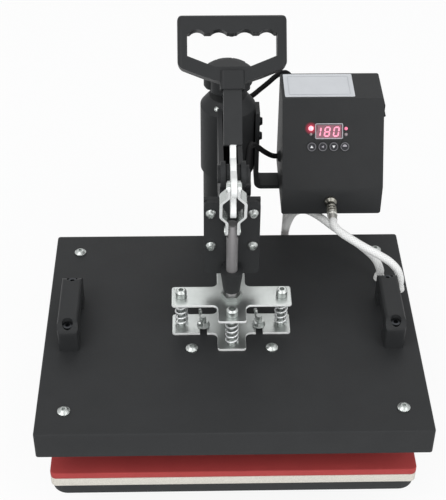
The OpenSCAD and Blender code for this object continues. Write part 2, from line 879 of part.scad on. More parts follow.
// Circuit board with its display block, key switches and the posts that hold it to the panel
module control_board() {
    board = [86, 58, 1.6];
    mid_y = (window_y + button_y) / 2;
    back = -box_wall - board_gap;
    color("#1f5b35") on_panel(window_x, 0) {
        translate([-board[0] / 2, mid_y - board[1] / 2, back - board[2]]) cube(board);
        translate([-window_w / 2, window_y - window_h / 2, back]) cube([window_w, window_h, board_gap - 1.2]);
        for (x = [-1, 1], y = [-1, 1])
            translate([x * (board[0] / 2 - 4), mid_y + y * (board[1] / 2 - 4), back])
                cylinder(d = 6, h = board_gap);
        for (i = [0:3])
            translate([(i - 1.5) * button_pitch, button_y, back]) cylinder(d = 5, h = board_gap - 2.3);
        for (i = [0:2])
            translate([led_places[i][0] - window_x, led_places[i][1], back])
                cylinder(d = led_sizes[i] - 0.2, h = board_gap + box_wall);
    }
}

module power_module() {
    board = [52, 40, 3];
    relay = [30, 32, 24];
    fuse = [10, 28, 14];
    color("#c8b060") translate([box_mid - 8, box_front + 44, head(box_low) + box_wall]) {
        cube(board);
        translate([4, 4, board[2]]) cube(relay);
        translate([8 + relay[0], 6, board[2]]) cube(fuse);
    }
}

module lead_socket() {
    color(zinc) translate([socket_x, box_front, socket_z]) rotate([90, 0, 0]) {
        cylinder(d = socket_d, h = 3);
        translate([0, 0, 3]) cylinder(d1 = socket_d, d2 = socket_d - 5, h = 2.5);
        cylinder(d = socket_d - 6, h = socket_out);
        translate([0, 0, -box_wall - 4]) cylinder(d = socket_d - 3.2, h = box_wall + 4.5);
    }
}

module lead_plug() {
    y = box_front - socket_out;
    core = lead_d / 2 + 0.5;
    rib = core + 0.7;
    rib_h = 2.4;
    rib_pitch = 4.4;
    color("silver") translate([socket_x, y, socket_z]) rotate([90, 0, 0]) rotate_extrude() polygon(concat(
        [[0, 0], [core, 0]],
        [for (i = [0:3], q = [[core, 0], [rib, 0.4], [rib, rib_h - 0.4], [core, rib_h]])
            [q[0], 2 + i * rib_pitch + q[1]]],
        [[core, plug_len - 6], [lead_d / 2 + 0.2, plug_len], [0, plug_len]]
    ));
}

module box_gland() {
    color(soft_black) translate([box_gland_x, box_gland_y, head(box_low)]) rotate([180, 0, 0]) {
        cylinder(d1 = gland_d + 2, d2 = gland_d - 1, h = 9);
        translate([0, 0, -box_wall - 2]) cylinder(d = lead_d + 1.8, h = box_wall + 2.5);
    }
}

module button(i) {
    cap = button_proud + box_wall + 1.5;
    color("#d8d8d8") button_place(i) translate([0, 0, -box_wall - 1.5]) {
        cylinder(d = button_d, h = cap);
        cylinder(d = button_d + 2 * button_flange, h = 1.2);
    }
}

module button_up() { button(0); }
module button_cycle() { button(1); }
module button_down() { button(2); }
module button_set() { button(3); }

// Pressure screw and star knob

module star_knob() {
    lobe_r = knob_d * 0.16;
    color(soft_black) translate([0, column_y, knob_z]) difference() {
        union() {
            intersection() {
                linear_extrude(knob_t) union() {
                    circle(d = knob_d * 0.74);
                    for (i = [0:knob_lobes - 1]) rotate(i * 360 / knob_lobes + 10)
                        translate([knob_d / 2 - lobe_r, 0]) circle(lobe_r);
                }
                rotate_extrude() polygon([
                    [0, 0], [knob_d / 2 - 2, 0], [knob_d / 2, 2], [knob_d / 2, knob_t - 4],
                    [knob_d / 2 - 4, knob_t - 1], [knob_d * 0.3, knob_t], [0, knob_t]
                ]);
            }
            translate([0, 0, -9]) cylinder(d1 = screw_d + 10, d2 = screw_d + 14, h = 9.5);
        }
        translate([0, 0, -20]) cylinder(d = screw_d + 2 * close, h = 20 + knob_t - 3);
    }
}

module pressure_screw() {
    tip = post_top + seat;
    color(zinc) translate([0, column_y, tip]) cylinder(d = screw_d, h = knob_z + knob_t - 3.5 - tip);
}

// Lever: positions run along its own axis from the pivot

module lever_frame() {
    translate([0, 0, pivot_z]) rotate([-lever_lean, 0, 0]) children();
}

module crank_outline() {
    tang_w = plug_w;
    crank_dir = [sin(crank_rest), cos(crank_rest)];
    eye_r = crank_slot_w / 2 + 5;
    circle(17);
    translate([-crank_r * crank_dir[0], -crank_r * crank_dir[1]]) circle(eye_r);
    rotate(180 - crank_rest + 90) translate([0, -eye_r]) square([crank_r, 2 * eye_r]);
    rotate(90 - lever_lean) translate([0, -tang_w / 2]) square([stem_low + 4, tang_w]);
    rotate(-115) {
        translate([0, -9]) square([crank_tail - 9, 18]);
        translate([crank_tail - 9, 0]) circle(9);
    }
}

module crank_plate() {
    plug_len = 22;
    boss_w = arm_gap - 2 * seat;
    color(steel) difference() {
        union() {
            translate([0, 0, pivot_z]) side_plate(-crank_t / 2, crank_t) crank_outline();
            translate([0, 0, pivot_z]) along_x(boss_w) cylinder(d = pivot_d + 8, h = boss_w);
            lever_frame() translate([-plug_w / 2, -plug_w / 2, stem_low]) cube([plug_w, plug_w, plug_len]);
        }
        translate([0, 0, pivot_z]) along_x(60) cylinder(d = pivot_d + 2 * run, h = 60);
        translate([0, 0, pivot_z]) rotate([90 - crank_rest + 90, 0, 0]) crank_slot();
    }
}

// Slot in which the fork's upper pin rides, along the crank towards the pivot
module crank_slot() {
    translate([0, 0, crank_r - crank_slot_len]) along_x(60) cylinder(d = crank_slot_w, h = 60);
    translate([0, 0, crank_r]) along_x(60) cylinder(d = crank_slot_w, h = 60);
    translate([-30, -crank_slot_w / 2, crank_r - crank_slot_len]) cube([60, crank_slot_w, crank_slot_len]);
}

module lever_stem() {
    len = stem_top - stem_low;
    color(soft_black) lever_frame() difference() {
        translate([-stem_w / 2, -stem_w / 2, stem_low]) cube([stem_w, stem_w, len]);
        translate([-stem_w / 2 + stem_wall, -stem_w / 2 + stem_wall, stem_low - 1])
            cube([stem_w - 2 * stem_wall, stem_w - 2 * stem_wall, len + 2]);
    }
}

// Stirrup grip drawn on its own plane: top bar with finger grooves, side bars and two struts
module grip_outline() {
    half = grip_w / 2;
    top_r = 6;
    hub = hub_w / 2;
    inner = half - grip_side;
    bar_low = grip_top - grip_bar;
    low_r = 9;
    strut_x = hub + 17;
    strut_drop = 9.5;
    strut_tilt = atan(strut_drop / (half - strut_x));
    cut = low_r * tan((90 - strut_tilt) / 2);
    difference() {
        union() {
            for (s = [-1, 1]) {
                translate([s * (half - top_r), grip_top - top_r]) circle(top_r);
                translate([s * (half - low_r), grip_knee + cut]) circle(low_r);
            }
            translate([-half + top_r, grip_top - top_r]) square([grip_w - 2 * top_r, top_r]);
            polygon([
                [-half, grip_top - top_r], [half, grip_top - top_r], [half, grip_knee + cut],
                [half - cut * cos(strut_tilt), grip_knee - cut * sin(strut_tilt)],
                [strut_x, grip_knee - strut_drop], [hub, grip_knee - 15], [hub, grip_low + 2],
                [-hub, grip_low + 2], [-hub, grip_knee - 15], [-strut_x, grip_knee - strut_drop],
                [cut * cos(strut_tilt) - half, grip_knee - cut * sin(strut_tilt)], [-half, grip_knee + cut]
            ]);
        }
        polygon([
            [-inner, bar_low], [inner, bar_low], [inner, grip_knee + 10.5], [hub + 5, grip_knee - 0.2],
            [-hub - 5, grip_knee - 0.2], [-inner, grip_knee + 10.5]
        ]);
        for (s = [-1, 1], g = [[groove_mid, groove_r], [groove_out, inner - groove_out]])
            translate([s * g[0], bar_low + groove_depth - g[1]]) circle(g[1]);
    }
    translate([0, bar_low + bump_r - 0.7]) circle(bump_r);
}

module d_grip() {
    edge = 5;
    color(soft_black) lever_frame() difference() {
        union() {
            intersection() {
                rotate([90, 0, 0]) translate([0, 0, -grip_t / 2]) linear_extrude(grip_t) grip_outline();
                translate([-grip_w, 0, 0]) rotate([90, 0, 90]) linear_extrude(2 * grip_w)
                    translate([0, grip_top - grip_h / 2]) rounded_rect(grip_t, grip_h, edge);
                linear_extrude(grip_top + 10) rounded_rect(grip_w, grip_t, edge);
            }
            translate([0, 0, grip_low]) slab(hub_w, hub_w, hub_h, 4);
        }
        translate([-stem_w / 2 - close, -stem_w / 2 - close, 0])
            cube([stem_w + 2 * close, stem_w + 2 * close, stem_top + 0.1]);
    }
}

// Ram, fork and cross head

module ram_rod() {
    low = cross_top_z - 7;
    top = ram_eye_z + 8;
    shoulder = ram_eye_z - fork_foot_r - 1.6;
    color(steel) difference() {
        translate([0, 0, low]) cylinder(d = rod_d, h = top - low);
        for (s = [-1, 1])
            translate([s > 0 ? tenon_w / 2 : -tenon_w / 2 - 20, -20, shoulder]) cube([20, 40, 40]);
        translate([0, 0, ram_eye_z]) along_x(40) cylinder(d = fork_pin_d + 2 * run, h = 40);
    }
}

module cross_outline() {
    corner = 3;
    rounded_rect(cross_w, cross_arm, corner);
    rounded_rect(cross_arm, cross_d, corner);
    for (sx = [-1, 1], sy = [-1, 1]) scale([sx, sy])
        translate([cross_arm / 2, cross_arm / 2]) difference() {
            square(cross_fillet);
            translate([cross_fillet, cross_fillet]) circle(cross_fillet);
        }
}

module spring_bolt_places() {
    for (s = [-1, 1]) {
        translate([s * spring_bolt_x, 0, 0]) children();
        translate([0, s * spring_bolt_y, 0]) children();
    }
}

module cross_plate_top() {
    color(zinc) translate([0, 0, cross_top_z]) difference() {
        linear_extrude(cross_t) cross_outline();
        translate([0, 0, -1]) cylinder(d = rod_d + 2 * close, h = cross_t + 2);
        spring_bolt_places() translate([0, 0, -1]) cylinder(d = spring_bolt_d + 0.6, h = cross_t + 2);
    }
}

module ram_nuts() {
    color(zinc) for (z = [cross_top_z + cross_t, cross_top_z - 6.5])
        translate([0, 0, z]) difference() {
            hex_head(19, z > cross_top_z ? 5 : 6.5);
            translate([0, 0, -1]) cylinder(d = rod_d + 2 * close, h = 10);
        }
}

// Fork: positions run from the ram's eye along the fork towards the crank
module fork_frame() {
    translate([0, 0, ram_eye_z]) rotate([fork_lean, 0, 0]) children();
}

module fork_strap_outline() {
    tail_in = tenon_w / 2 + 0.2;
    eye_end = fork_len + fork_eye_r + 1;
    tail_end = -fork_foot_r - 1;
    polygon([
        [fork_in, eye_end], [fork_in, fork_len - 14], [fork_in + fork_swell, fork_len - 29],
        [fork_in + fork_swell, 23], [tail_in, 9], [tail_in, tail_end],
        [tail_in + fork_t, tail_end], [tail_in + fork_t, 8], [fork_in + fork_swell + fork_t, 22],
        [fork_in + fork_swell + fork_t, fork_len - 28], [fork_in + fork_t, fork_len - 13],
        [fork_in + fork_t, eye_end]
    ]);
}

module fork_straps() {
    depth = 40;
    color(zinc) fork_frame() difference() {
        intersection() {
            for (s = [0, 1]) mirror([s, 0, 0])
                translate([0, depth / 2, 0]) rotate([90, 0, 0]) linear_extrude(depth) fork_strap_outline();
            side_plate(-30, 60) union() {
                circle(fork_foot_r);
                translate([0, fork_len]) circle(fork_eye_r);
                polygon([[-fork_foot_r, 0], [fork_foot_r, 0],
                    [fork_eye_r, fork_len], [-fork_eye_r, fork_len]]);
            }
        }
        for (z = [0, fork_len]) translate([0, 0, z]) along_x(60) cylinder(d = fork_pin_d + 2 * close, h = 60);
    }
}

module fork_pins() {
    cap = 1;
    tail_out = tenon_w / 2 + 0.2 + fork_t;
    eye_out = fork_in + fork_t;
    color(zinc) fork_frame() for (p = [[0, tail_out], [fork_len, eye_out]]) translate([0, 0, p[0]]) {
        along_x(2 * p[1]) cylinder(d = fork_pin_d, h = 2 * p[1]);
        for (s = [-1, 1]) translate([s * (p[1] + cap / 2), 0, 0])
            along_x(cap) cylinder(d = fork_pin_d + 4, h = cap);
    }
}

module cross_plate_lower() {
    color(zinc) translate([0, 0, cross_low_z]) difference() {
        linear_extrude(cross_t) difference() {
            cross_outline();
            for (s = [-1, 1]) translate([s * stud_x, stud_y]) {
                circle(d = slot_w);
                translate([-slot_w / 2, -cross_arm]) square([slot_w, cross_arm]);
            }
        }
        spring_bolt_places() translate([0, 0, -1]) cylinder(d = spring_bolt_d + 2 * close, h = cross_t + 2);
    }
}

module spring_bolts() {
    len = cross_top_z + cross_t + seat - cross_low_z;
    head_d = spring_bolt_d + 4;
    head_h = 7;
    color(zinc) spring_bolt_places() translate([0, 0, cross_low_z]) difference() {
        union() {
            cylinder(d = spring_bolt_d, h = len);
            translate([0, 0, len]) cylinder(d = head_d, h = head_h);
            translate([0, 0, len + head_h]) cylinder(d1 = head_d, d2 = head_d - 4, h = 2);
        }
        translate([0, 0, len + head_h + 2]) key_socket(5, 4);
    }
}

// Helical springs between the cross plates
spring_r = (spring_od - spring_wire) / 2;
spring_low = cross_low_z + cross_t + spring_wire / 2 + 0.15;
spring_high = cross_top_z - spring_wire / 2 - 0.15;
spring_steps = 8;
spring_route = [
    for (i = [0:spring_turns * spring_steps])
        let (a = 360 * i / spring_steps)
        [spring_r * cos(a), spring_r * sin(a),
            spring_low + (spring_high - spring_low) * i / (spring_turns * spring_steps)]
];
spring_pitch = (spring_high - spring_low) / spring_turns;
spring_gap_self = min([
    for (i = [0:len(spring_route) - 1], j = [i + spring_steps - 2:i + spring_steps + 2])
        if (j < len(spring_route)) norm(spring_route[j] - spring_route[i])
]) - spring_wire;

module head_springs() {
    color(steel) spring_bolt_places() tube_along(spring_route, spring_wire, 6, [1, 0, 0]);
}

// Studs on the cover with the wing nuts that clamp the lower cross plate
module wing_studs() {
    nut_h = 6;
    color(zinc) for (s = [-1, 1]) translate([s * stud_x, stud_y, cover_top]) {
        cylinder(d = stud_d, h = cross_t + nut_h + 7);
        translate([0, 0, cross_t]) difference() {
            union() {
                cylinder(d1 = stud_d + 8, d2 = stud_d + 5, h = nut_h);
                for (w = [-1, 1]) rotate(90 + 20 * w) mirror([w > 0 ? 0 : 1, 0, 0]) wing();
            }
            translate([0, 0, -1]) cylinder(d = stud_d + 2 * close, h = nut_h + 2);
        }
    }
}

module wing() {
    t = 2.4;
    translate([0, t / 2, 0]) rotate([90, 0, 0]) linear_extrude(t) {
        polygon([[stud_d / 2 + 1, 1], [stud_d / 2 + 1, 5], [8, 12], [12, 12], [9, 4]]);
        translate([10, 11]) circle(3);
    }
}

// Heated platen

module screw_places() {
    at_corners(corner_screw_x, corner_screw_y) children();
    at_corners(inner_screw_x, inner_screw_y) children();
}

module handle_screw_places() {
    for (x = [-1, 1], y = [-1, 1]) translate([x * handle_x, handle_y + y * handle_pitch / 2, 0]) children();
}

module gland_places() {
    for (g = [plug_gland, heater_gland]) translate([g[0], g[1], cover_top]) children();
}

module heater_cover() {
    color(black) difference() {
        translate([0, 0, cover_z]) slab(cover_w, cover_d, cover_h, cover_corner_r);
        translate([0, 0, cover_z - 1])
            slab(cover_w - 2 * cover_wall, cover_d - 2 * cover_wall, cover_h + 1 - cover_wall,
                cover_corner_r - cover_wall / 2);
        translate([0, 0, cover_top - 5]) {
            screw_places() cylinder(d = cover_screw_d + 2 * close, h = 10);
            handle_screw_places() cylinder(d = handle_screw_d + 2 * close, h = 10);
        }
        gland_places() translate([0, 0, -5]) cylinder(d = lead_d + 2 * close, h = 10);
    }
}

module heater_plate() {
    color("lightgray") difference() {
        translate([0, 0, heater_z]) slab(plate_w, plate_d, heater_t, pad_corner_r);
        screw_places() translate([0, 0, mica_z - 8]) cylinder(d = cover_screw_d + 2 * close, h = 20);
    }
}

module mica_heater() {
    color("#b9a98a") difference() {
        translate([0, 0, mica_z]) slab(plate_w - 10, plate_d - 10, mica_t, pad_corner_r);
        screw_places() translate([0, 0, mica_z - 1]) cylinder(d = cover_screw_d + 2 * close, h = 20);
    }
}

module insulation_board() {
    color("#e8dfc0") difference() {
        translate([0, 0, insulation_z]) slab(plate_w, plate_d, cover_in - insulation_z, pad_corner_r);
        screw_places() translate([0, 0, insulation_z - 1]) cylinder(d = cover_screw_d + 2 * close, h = 40);
        handle_screw_places() translate([0, 0, cover_top - handle_screw_in - 1])
            cylinder(d = handle_screw_d + 2 * close, h = 40);
        gland_places() translate([0, 0, -10]) cylinder(d = lead_d + 2, h = 20);
    }
}

module cover_screws() {
    color(zinc) {
        screw_places() difference() {
            union() {
                translate([0, 0, mica_z - 7.5]) cylinder(d = cover_screw_d, h = cover_top - mica_z + 7.5);
                translate([0, 0, cover_top]) cylinder(d = cover_screw_d + 7, h = 1.5);
                translate([0, 0, cover_top + 1.5])
                    cylinder(d1 = cover_screw_d + 7, d2 = cover_screw_d, h = 3);
            }
            translate([0, 0, cover_top + 4.5]) key_socket(4, 2.5);
        }
        handle_screw_places() translate([0, 0, cover_top]) difference() {
            union() {
                translate([0, 0, -handle_screw_in])
                    cylinder(d = handle_screw_d, h = handle_screw_in + handle_seat);
                translate([0, 0, handle_seat]) cylinder(d = handle_screw_d + 4, h = 5);
            }
            translate([0, 0, handle_seat + 5]) key_socket(5, 3);
        }
    }
}

// Bridge handle drawn from the side, with the finger gap under its bar
module handle_outline() {
    half = handle_len / 2;
    r_out = 15;
    gap_h = handle_h - handle_bar;
    foot = 20;
    gap_half = half - foot;
    gap_r = 3;
    difference() {
        union() {
            translate([-half, 0]) square([handle_len, handle_h - r_out]);
            translate([-half + r_out, 0]) square([handle_len - 2 * r_out, handle_h]);
            for (s = [-1, 1]) translate([s * (half - r_out), handle_h - r_out]) circle(r_out);
        }
        translate([-gap_half, -1]) square([2 * gap_half, gap_h + 1 - gap_r]);
        translate([-gap_half + gap_r, -1]) square([2 * gap_half - 2 * gap_r, gap_h + 1]);
        for (s = [-1, 1]) translate([s * (gap_half - gap_r), gap_h - gap_r]) circle(gap_r);
    }
}

module bridge_handle(side) {
    edge = 4;
    color(soft_black) translate([side * handle_x, handle_y, cover_top]) difference() {
        intersection() {
            side_plate(-handle_w / 2, handle_w) handle_outline();
            slab(handle_w, handle_len, handle_h + 1, edge);
            translate([0, handle_len, 0]) rotate([90, 0, 0]) linear_extrude(2 * handle_len)
                union() {
                    translate([-handle_w / 2, 0]) square([handle_w, handle_h / 2]);
                    translate([0, handle_h / 2]) rounded_rect(handle_w, handle_h, edge);
                }
        }
        for (s = [-1, 1]) translate([0, s * handle_pitch / 2, 0]) {
            translate([0, 0, -1]) cylinder(d = handle_screw_d + 2 * close, h = handle_h + 2);
            translate([0, 0, handle_seat]) cylinder(d = handle_screw_d + 5.5, h = handle_h);
        }
    }
}

module handle_left() { bridge_handle(-1); }
module handle_right() { bridge_handle(1); }
module rail_left() { rail(-1); }
module rail_right() { rail(1); }

module cover_glands() {
    color("whitesmoke") gland_places() {
        cylinder(d1 = gland_d - 1, d2 = lead_d + 2, h = gland_h);
        translate([0, 0, -cover_wall - 3]) cylinder(d = lead_d, h = cover_wall + 3.5);
    }
}

// White leads: from the glands on the cover to the plug and to the gland under the box
plug_end = [socket_x, box_front - socket_out - plug_len - seat, socket_z];
plug_route = [
    [plug_gland[0], plug_gland[1], cover_top + gland_h],
    [plug_gland[0], plug_gland[1], head(15)], [plug_gland[0] - 4, 58, head(27)],
    [plug_gland[0] - 14, 60, head(38)], [plug_gland[0] - 28, 62, head(47)],
    [plug_gland[0] - 43, 65, head(55)], [socket_x + 18, 70, head(62)],
    [plug_end[0] + 7, plug_end[1] - 17, plug_end[2] - 3], plug_end + [0, -8, 0], plug_end
];
module plug_lead() {
    color("whitesmoke") tube_along(plug_route, lead_d, 10, [0, 0.2, 1]);
}

gland_low = head(box_low) - 9;
heater_route = [
    [heater_gland[0], heater_gland[1], cover_top + gland_h],
    [heater_gland[0], heater_gland[1], head(13)], [heater_gland[0] - 6, 83, head(23)],
    [heater_gland[0] - 20, 97, head(29)], [heater_gland[0] - 36, 111, head(33)],
    [118, 125, head(37)], [103, 140, head(40)],
    [box_gland_x + 16, 153, head(38)], [box_gland_x + 5, 163, head(27)], [box_gland_x - 1, 169, head(10)],
    [box_gland_x - 4, 173, head(-8)], [box_gland_x - 4, 180, head(-24)], [box_gland_x - 3, 194, head(-31)],
    [box_gland_x - 1, 208, head(-24)],
    [box_gland_x, box_gland_y - 1, head(-4)], [box_gland_x, box_gland_y, head(18)],
    [box_gland_x, box_gland_y, gland_low - seat]
];
module heater_lead() {
    color("whitesmoke") tube_along(heater_route, lead_d, 10, [0, 0.2, 1]);
}

echo(spring_self_gap = spring_gap_self);
echo(ram_travel = ram_travel, platen_travel = platen_travel, fork_lean = fork_lean,
    fork_turn = fork_lean - fork_lean_closed, fork_len = fork_len, pivot_z = pivot_z, ram_eye_z = ram_eye_z);

at_ram() rail_left();
at_ram() rail_right();
at_ram() rear_crossbar();
at_ram() feet();
at_ram() bed_plate();
at_ram() base_bolts();
at_ram() foam_layer();
at_ram() silicone_pad();
at_ram() column_flange();
at_ram() column_post();
at_ram() swing_sleeve();
at_ram() sleeve_liner();
at_ram() arm_frame();
at_ram() guide_plate();
at_ram() guide_bush();
at_ram() arm_bolts();
at_ram() lever_pin();
at_ram() box_bracket();
at_ram() limit_switch();
at_ram() switch_lead();
at_ram() earth_lead();
at_ram() control_box_shell();
at_ram() control_box_back();
at_ram() mains_gland();
at_ram() switch_body();
at_ram() display_window();
at_ram() control_board();
at_ram() power_module();
at_ram() lead_socket();
at_ram() lead_plug();
at_ram() box_gland();
at_ram() star_knob();
at_ram() pressure_screw();
at_ram() crank_plate();
at_ram() lever_stem();
at_ram() d_grip();
at_ram() ram_rod();
at_ram() cross_plate_top();
at_ram() ram_nuts();
at_ram() fork_straps();
at_ram() fork_pins();
at_ram() heater_cover();
at_ram() heater_plate();
at_ram() mica_heater();
at_ram() insulation_board();
at_ram() cover_screws();
at_ram() cross_plate_lower();
at_ram() spring_bolts();
at_ram() head_springs();
at_ram() wing_studs();
at_ram() handle_left();
at_ram() handle_right();
at_ram() cover_glands();
at_ram() plug_lead();
at_ram() heater_lead();
at_ram() button_up();
at_ram() button_cycle();
at_ram() button_down();
at_ram() button_set();
at_ram() power_rocker();
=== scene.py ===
"""Looks of a flat heat press with a swing arm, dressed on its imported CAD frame.

Everything is in metres in the CAD's own frame: X to the right, Y to the back, Z up.
The press faces -Y. The ram's axis stands at X 0 and Y RAM_Y.
"""

import json
from math import cos, pi, radians, sin, tan

import bmesh
import bpy
from bpy.props import FloatProperty, FloatVectorProperty, IntProperty, PointerProperty
from mathutils import Matrix, Vector


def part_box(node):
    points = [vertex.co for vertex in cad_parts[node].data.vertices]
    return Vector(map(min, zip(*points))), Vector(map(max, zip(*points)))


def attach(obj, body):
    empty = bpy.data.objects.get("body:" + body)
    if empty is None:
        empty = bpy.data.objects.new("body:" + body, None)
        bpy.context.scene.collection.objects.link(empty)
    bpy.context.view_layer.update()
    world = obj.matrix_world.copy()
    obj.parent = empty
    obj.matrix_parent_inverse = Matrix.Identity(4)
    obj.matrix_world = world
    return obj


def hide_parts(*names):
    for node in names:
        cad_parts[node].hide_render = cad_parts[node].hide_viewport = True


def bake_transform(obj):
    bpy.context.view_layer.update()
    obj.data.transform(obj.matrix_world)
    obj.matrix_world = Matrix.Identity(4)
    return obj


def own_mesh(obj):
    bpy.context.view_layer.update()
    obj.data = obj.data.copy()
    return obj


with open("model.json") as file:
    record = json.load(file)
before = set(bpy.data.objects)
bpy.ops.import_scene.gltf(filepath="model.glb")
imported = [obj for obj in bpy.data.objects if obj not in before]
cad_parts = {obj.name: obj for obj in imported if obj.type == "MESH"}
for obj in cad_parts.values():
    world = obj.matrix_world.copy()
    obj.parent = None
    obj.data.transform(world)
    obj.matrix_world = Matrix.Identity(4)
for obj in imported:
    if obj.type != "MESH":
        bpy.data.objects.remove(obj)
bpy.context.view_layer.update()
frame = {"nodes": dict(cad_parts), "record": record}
NODES = frame["nodes"]
BODY_OF = {n: b for b, ns in frame["record"]["behaviour"]["bodies"].items() for n in ns}
SLOT_OF = {s["node"]: s["material_slot"] for s in frame["record"]["subparts"]}

bl_info = {
    "name": "Flat heat press looks",
    "version": (1, 0, 0),
    "blender": (4, 5, 0),
    "location": "View3D > Sidebar > Press",
    "description": "Models and finishes the pieces of a flat heat press on its CAD frame",
    "category": "Object",
}

MM = 0.001
RAM_Y = -47.5 * MM
PANEL_FOOT = Vector((116.5, 128.0, 246.0)) * MM + Vector((0, RAM_Y, 0))
PANEL_UP = Vector((0, 0.50262, 0.86451))
PANEL_OUT = Vector((0, -0.86451, 0.50262))
# The panel's own frame: X to the right, Y up its slope and Z out of it.
PANEL = Matrix((
    (1, 0, 0, PANEL_FOOT.x),
    (0, PANEL_UP.y, PANEL_OUT.y, PANEL_FOOT.y),
    (0, PANEL_UP.z, PANEL_OUT.z, PANEL_FOOT.z),
    (0, 0, 0, 1),
))
# On the panel: the display's middle, the buttons, the large lamp, and where its light fades and ends.
WINDOW = Vector((-5.5, 62.6, 0)) * MM
BUTTON_ROW = 46 * MM
BUTTON_SPOTS = [(-23.95 + 12.3 * i) * MM for i in range(4)]
LAMP = Vector((-24.8, 66.5)) * MM
GLOW, SPILL = 2.7 * MM, 7.2 * MM
# Finishes by the record's material slot or by their use, filled by make_finishes.
FINISHES = {}
# A digit's width and bar as shares of its height, the gap as a share of the bar, and the slant.
DIGIT_WIDTH, DIGIT_BAR, DIGIT_GAP, DIGIT_SLANT = 0.53, 0.16, 0.12, 0.14
# Edges sharper than this are broken.
SHARP = radians(40)
# The camera fitted to the photograph: its place in metres and its turns in degrees.
CAMERA_PLACE = (-0.0348, -1.0125, 1.0733)
CAMERA_TURNS = ((-1.51, "Z"), (50.01, "X"), (0.45, "Z"))


def linear(code):
    """Linear colour of an sRGB hex value."""
    parts = [int(code[i:i + 2], 16) / 255 for i in (1, 3, 5)]
    return tuple(c / 12.92 if c <= 0.04045 else ((c + 0.055) / 1.055) ** 2.4 for c in parts)


def shade(code, name, description):
    """A colour that a user may change, given as sRGB hex."""
    return FloatVectorProperty(
        name=name, description=description, subtype="COLOR", size=3, min=0, max=1,
        default=linear(code))


def length(mm, name, description):
    """A length that a user may change, given in millimetres."""
    return FloatProperty(
        name=name, description=description, default=mm * MM, min=0, precision=5,
        subtype="DISTANCE", unit="LENGTH")


def wattage(watts, name, description):
    """A lamp's power that a user may change."""
    return FloatProperty(name=name, description=description, default=watts, min=0, unit="POWER")


class PressColours(bpy.types.PropertyGroup):
    """Colours of the press."""

    paint: shade("#2c2d2e", "Paint", "Black powder coat on sheet steel and castings")
    plastic: shade("#2a2b2c", "Plastic", "Black moulded plastic of grip, handles and box")
    zinc: shade("#b9bdbb", "Zinc", "Bright zinc plate on cross plates, screws and linkage")
    silicone: shade("#a23a39", "Silicone", "Red silicone pad on the lower bed")
    foam: shade("#cbc7be", "Foam", "White silicone foam under the pad")
    sleeving: shade("#f0f1f0", "Sleeving", "White glass-fibre sleeving of the heater's leads")
    glow: shade("#f2345c", "Glow", "Light of the digits and lamps")


class PressSizes(bpy.types.PropertyGroup):
    """Sizes that scene.py adds to the CAD's."""

    sheet_edge: length(2.2, "Sheet edge", "Fold radius of the platen's sheet cover")
    pad_edge: length(1.4, "Pad edge", "Rounded edge of the red pad")
    machined_edge: length(0.6, "Machined edge", "Broken edge of cut plates")
    moulded_edge: length(1.6, "Moulded edge", "Rounded edge of moulded plastic")
    wire: length(2.2, "Spring wire", "Wire of the head springs")
    digit: length(9.8, "Digit height", "Height of a digit on the display")
    digit_pitch: length(10.1, "Digit pitch", "Step from one digit to the next")
    braid_stitches: IntProperty(
        name="Braid stitches", description="Stitches round the white sleeving", default=8, min=4)


class PressStage(bpy.types.PropertyGroup):
    """Camera and light."""

    lens: FloatProperty(
        name="Lens", description="Focal length of the camera", default=98.76, min=10,
        unit="CAMERA")
    key: wattage(16, "Key light", "Power of the large soft light at the left")
    fill: wattage(9, "Fill light", "Power of the soft light at the right")
    front: wattage(16, "Front light", "Power of the low soft light in front")
    back: wattage(4, "Back light", "Power of the soft light behind")
    floor: shade("#f3f4f5", "Floor", "Plain pale floor")


# Modelling helpers


def ram_point(x, y, z):
    """A place in millimetres from the ram's axis, in the CAD frame."""
    return Vector((x * MM, y * MM + RAM_Y, z * MM))


def clear():
    """Object mode with nothing selected, because the CAD nodes come in selected."""
    if bpy.context.mode != "OBJECT":
        bpy.ops.object.mode_set(mode="OBJECT")
    bpy.ops.object.select_all(action="DESELECT")


def made(name):
    """Names the active object, which was just added or joined, and puts its place into its mesh."""
    piece = bpy.context.active_object
    piece.name = name
    piece.data.name = name
    bpy.ops.object.transform_apply(location=True, rotation=True, scale=True)
    return piece


def only(piece):
    """Makes this the one selected, active object."""
    clear()
    piece.select_set(True)
    bpy.context.view_layer.objects.active = piece


def edit(piece, kind="VERT", action="SELECT"):
    """Edit mode on this piece, with all of it selected or nothing."""
    only(piece)
    bpy.ops.object.mode_set(mode="EDIT")
    bpy.ops.mesh.select_mode(type=kind)
    bpy.ops.mesh.select_all(action=action)


def choose(piece, kind, test):
    """Edit mode with just the faces or edges selected whose direction passes the test."""
    edit(piece, kind, "DESELECT")
    mesh = bmesh.from_edit_mesh(piece.data)
    for item in mesh.faces if kind == "FACE" else mesh.edges:
        way = item.normal if kind == "FACE" else (item.verts[1].co - item.verts[0].co).normalized()
        if test(way):
            item.select_set(True)
    mesh.select_flush_mode()
    bmesh.update_edit_mesh(piece.data)


def along_z(way):
    """True for upright edges and for level faces."""
    return abs(way.z) > 0.9


def upward(way):
    """True for level faces that look up."""
    return way.z > 0.9


def round_corners(piece, radius, segments):
    """Rounds the upright edges."""
    choose(piece, "EDGE", along_z)
    bpy.ops.mesh.bevel(offset=radius, segments=segments)


def ease(piece, width, segments, test):
    """Rounds the edges of the faces whose direction passes the test."""
    choose(piece, "FACE", test)
    bpy.ops.mesh.bevel(offset=width, segments=segments, affect="EDGES")
    clear()


def modify(piece, kind, **settings):
    """Adds a modifier with these settings and applies it."""
    only(piece)
    modifier = piece.modifiers.new(kind.title(), kind)
    for key, value in settings.items():
        setattr(modifier, key, value)
    bpy.ops.object.modifier_apply(modifier=modifier.name)


def smooth(piece, angle=38):
    """Smooth shading that keeps the edges sharper than this angle."""
    only(piece)
    bpy.ops.object.shade_smooth_by_angle(angle=radians(angle))


